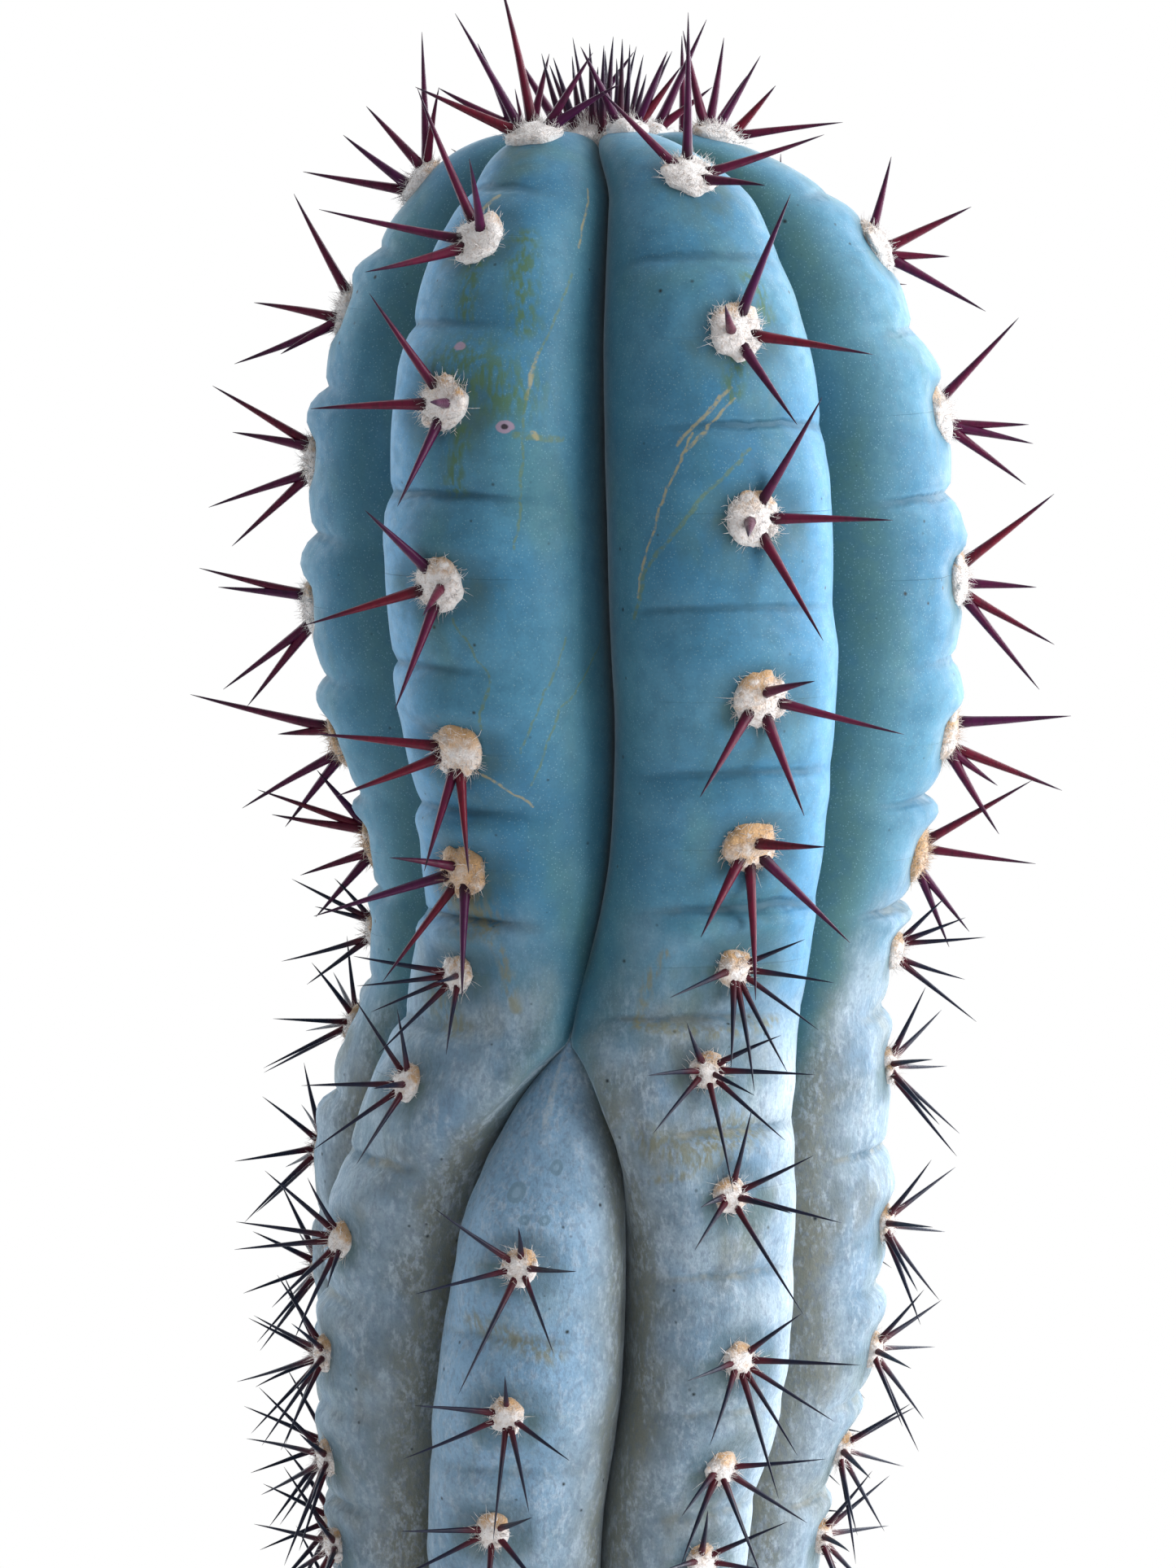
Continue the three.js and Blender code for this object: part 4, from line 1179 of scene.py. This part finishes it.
    # Fold lines: a shadowed crease on young skin, tan cork on old skin
    wiggle = p.times(p.math("SUBTRACT", p.noise(4, 3), 0.5), 1.2)
    line = p.math("ABSOLUTE", p.math("ADD", p.value("fold"), wiggle))
    crease = p.times(p.ramp(line, 0.95, 0.1), p.value("fold_mask"), clamp=True)
    corked = p.ramp(p.noise(5, 4), 0.42, 0.58)
    line_tone = p.mix(p.times(age, corked), (0.022, 0.085, 0.135), (0.22, 0.19, 0.11))
    colour = p.mix(p.times(crease, 0.62), colour, line_tone)
    colour = paint_marks(p, colour)

    rough = p.ramp(fine, 0.3, 0.7, 0.5, 0.66)
    rough = p.math("ADD", rough, p.times(age, 0.1))
    normal = p.bump(grain, 0.05, 0.5)
    normal = p.bump(p.times(streaks, age), 0.35, 0.7, normal)
    normal = p.bump(p.times(crease, -1.0), 0.3, 0.9, normal)
    return p.finish(colour, rough, normal, Specular_IOR_Level=0.33, Sheen_Weight=0.42,
                    Sheen_Roughness=0.3, Sheen_Tint=(0.72, 0.88, 1.0))


def felt_material():
    """White wool that ages to cream and tan."""
    p = Paint(bpy.data.materials.new("areole_felt"))
    tone = p.value("tone")
    blotch = p.noise(1.3, 4)
    shade = p.math("ADD", tone, p.times(p.math("SUBTRACT", blotch, 0.5), 1.3), clamp=True)
    colour = p.mix(p.ramp(shade, 0.15, 0.9), (0.97, 0.91, 0.88), (0.70, 0.42, 0.20))
    colour = p.mix(p.ramp(p.noise(0.55, 4), 0.34, 0.5, 0.35, 0), colour, (0.50, 0.31, 0.19))
    colour = p.mix(p.times(p.value("tip"), p.times(tone, 0.35)), colour,
                   (0.40, 0.20, 0.08))
    normal = p.bump(p.noise(0.3, 4), 0.3, 1.0)
    return p.finish(colour, 0.95, normal, Specular_IOR_Level=0.15, Sheen_Weight=1.0, Sheen_Roughness=0.5)


def spine_material():
    """Dark red spines: crimson in the middle, near black at the tip, bluish black on old growth."""
    p = Paint(bpy.data.materials.new("spine_horn"))
    along = p.value("along")
    tone = p.value("tone")
    young = p.value("young")
    streak = p.noise(0.7, 4, (1, 1, 0.4))
    wine = p.mix(tone, (0.135, 0.006, 0.018), (0.060, 0.007, 0.050))
    fresh = p.mix(p.ramp(along, 0.0, 0.2), (0.020, 0.004, 0.008), wine)
    fresh = p.mix(p.ramp(along, 0.5, 0.95), fresh, (0.028, 0.006, 0.026))
    aged = p.mix(p.ramp(along, 0.05, 0.4), (0.075, 0.008, 0.015), (0.008, 0.010, 0.027))
    colour = p.mix(young, aged, fresh)
    colour = p.mix(p.ramp(streak, 0.45, 0.7, 0, 0.4), colour, (0.012, 0.004, 0.010))
    rough = p.ramp(streak, 0.3, 0.7, 0.28, 0.45)
    normal = p.bump(p.noise(0.5, 3, (1, 1, 0.3)), 0.06, 0.5)
    return p.finish(colour, rough, normal, Specular_IOR_Level=0.22)


def clay_material():
    """Unglazed fired clay with lime bloom and a damp foot."""
    p = Paint(bpy.data.materials.new("terracotta"))
    level = p.value("level")
    cloud = p.noise(38, 4)
    patch = p.noise(9, 5)
    grain = p.noise(0.7, 3)
    colour = p.mix(p.ramp(cloud, 0.3, 0.7), (0.335, 0.112, 0.047), (0.44, 0.168, 0.078))
    colour = p.mix(p.ramp(patch, 0.4, 0.7, 0, 0.45), colour, (0.49, 0.215, 0.115))
    bloom = p.math("ADD", p.noise(16, 6, (1, 1, 0.5), 0.65), p.ramp(level, 60, 0, 0, 0.12))
    bloom = p.ramp(bloom, 0.54, 0.74)
    colour = p.mix(p.times(bloom, 0.62), colour, (0.66, 0.52, 0.42))
    drips = p.ramp(p.noise(5, 3, (1, 1, 0.06)), 0.58, 0.72, 0, 0.3)
    colour = p.mix(drips, colour, (0.62, 0.46, 0.36))
    damp = p.ramp(p.math("ADD", level, p.times(patch, 22)), 26, 8, 0, 0.45)
    colour = p.mix(damp, colour, (0.20, 0.075, 0.035))
    colour = p.mix(p.spots(4.2, 0.5, 0.35), colour, (0.16, 0.07, 0.04))
    colour = p.mix(p.ramp(grain, 0.3, 0.6, 0.3, 0), colour, (0.26, 0.09, 0.045))
    normal = p.bump(grain, 0.12, 0.6)
    normal = p.bump(p.noise(3, 4, (1, 1, 2.5)), 0.2, 0.5, normal)
    return p.finish(colour, p.ramp(patch, 0.3, 0.7, 0.78, 0.92), normal, Specular_IOR_Level=0.3)


def soil_material():
    """Dark gritty cactus soil; each stone has its own tone."""
    p = Paint(bpy.data.materials.new("gritty_soil"))
    tone = p.value("tone")
    crumbs = p.noise(1.4, 5)
    dark = p.mix(p.ramp(crumbs, 0.3, 0.7), (0.028, 0.019, 0.013), (0.105, 0.072, 0.046))
    stone = p.mix(p.ramp(tone, 0.5, 0.8), (0.13, 0.088, 0.058), (0.36, 0.30, 0.235))
    stone = p.mix(p.ramp(tone, 0.86, 0.95), stone, (0.55, 0.52, 0.47))
    colour = p.mix(p.ramp(tone, 0.4, 0.5), dark, stone)
    colour = p.mix(p.ramp(p.noise(0.6, 4), 0.4, 0.7, 0.4, 0), colour, (0.03, 0.02, 0.014))
    normal = p.bump(crumbs, 0.5, 0.8)
    normal = p.bump(p.noise(0.4, 3), 0.12, 0.6, normal)
    return p.finish(colour, 0.93, normal, Specular_IOR_Level=0.2)


# ---------------------------------------------------------------- studio

def make_floor():
    """A pale floor that fades into the white surroundings away from the pot."""
    mesh = bpy.data.meshes.new("floor")
    mesh.from_pydata([(-FLOOR_REACH, -FLOOR_REACH, 0), (FLOOR_REACH, -FLOOR_REACH, 0),
                      (FLOOR_REACH, FLOOR_REACH, 0), (-FLOOR_REACH, FLOOR_REACH, 0)], [], [(0, 1, 2, 3)])
    floor = bpy.data.objects.new("floor", mesh)
    bpy.context.scene.collection.objects.link(floor)
    p = Paint(bpy.data.materials.new("pale_floor"))
    reach = p.node("ShaderNodeVectorMath", operation="LENGTH")
    p.put(reach.inputs[0], p.node("ShaderNodeTexCoord").outputs["Object"])
    p.put(p.shader.inputs["Alpha"], p.ramp(reach.outputs["Value"], 0.95 * FLOOR_REACH, 0.35 * FLOOR_REACH))
    mesh.materials.append(p.finish((0.9, 0.9, 0.9), 0.9, Specular_IOR_Level=0.1))


def soft_light(name, place, target, size, power, colour):
    data = bpy.data.lights.new(name, "AREA")
    data.shape = "RECTANGLE"
    data.size, data.size_y = size
    data.energy = power
    data.color = colour
    light = bpy.data.objects.new(name, data)
    light.location = place
    light.rotation_euler = (Vector(target) - Vector(place)).to_track_quat("-Z", "Y").to_euler()
    light.visible_camera = False
    bpy.context.scene.collection.objects.link(light)


def make_studio():
    """White surroundings that are brighter behind and to the right, and big windows beside the plant."""
    p = Paint(bpy.data.worlds.new("studio"), "Background")
    p.put(p.shader.inputs["Color"], (1.0, 1.0, 1.0))
    p.put(p.shader.inputs["Strength"], 1.0)
    ambient = p.node("ShaderNodeBackground")
    p.put(ambient.inputs["Color"], AMBIENT_COLOUR)
    side = p.node("ShaderNodeVectorMath", operation="DOT_PRODUCT")
    p.put(side.inputs[0], p.node("ShaderNodeTexCoord").outputs["Generated"])
    p.put(side.inputs[1], BRIGHT_SIDE)
    p.put(ambient.inputs["Strength"], p.ramp(side.outputs["Value"], -0.4, 1.0, *AMBIENT))
    either = p.node("ShaderNodeMixShader")
    p.put(either.inputs[0], p.node("ShaderNodeLightPath").outputs["Is Camera Ray"])
    p.put(either.inputs[1], ambient.outputs[0])
    p.put(either.inputs[2], p.shader.outputs[0])
    p.put(p.tree.nodes["World Output"].inputs["Surface"], either.outputs[0])
    scene = bpy.context.scene
    scene.world = p.owner
    scene.view_settings.view_transform = "Standard"
    for window in WINDOWS:
        soft_light(*window)


def make_camera():
    """Level with the tip of the plant and close, looking slightly down at its front."""
    data = bpy.data.cameras.new("camera")
    data.lens = CAMERA_LENS
    data.sensor_width = 36
    data.clip_start = 0.05
    camera = bpy.data.objects.new("camera", data)
    camera.location = (CAMERA_ASIDE * MM, -CAMERA_DISTANCE * MM, (STEM_TOP - CAMERA_BELOW_TIP) * MM)
    camera.rotation_euler = (math.radians(90 - CAMERA_TILT), 0, 0)
    bpy.context.scene.collection.objects.link(camera)
    bpy.context.scene.camera = camera


make_camera()
make_studio()
make_floor()
stem = stem_grid()
weather_stem(stem)
felt_paint = felt_material()
spine_paint = spine_material()
make_stem(stem, skin_material())
make_crown(stem, felt_paint, spine_paint)
make_areoles(stem, felt_paint, spine_paint)
make_pot(clay_material())
soil_paint = soil_material()
make_soil(soil_paint)
make_grit(soil_paint)
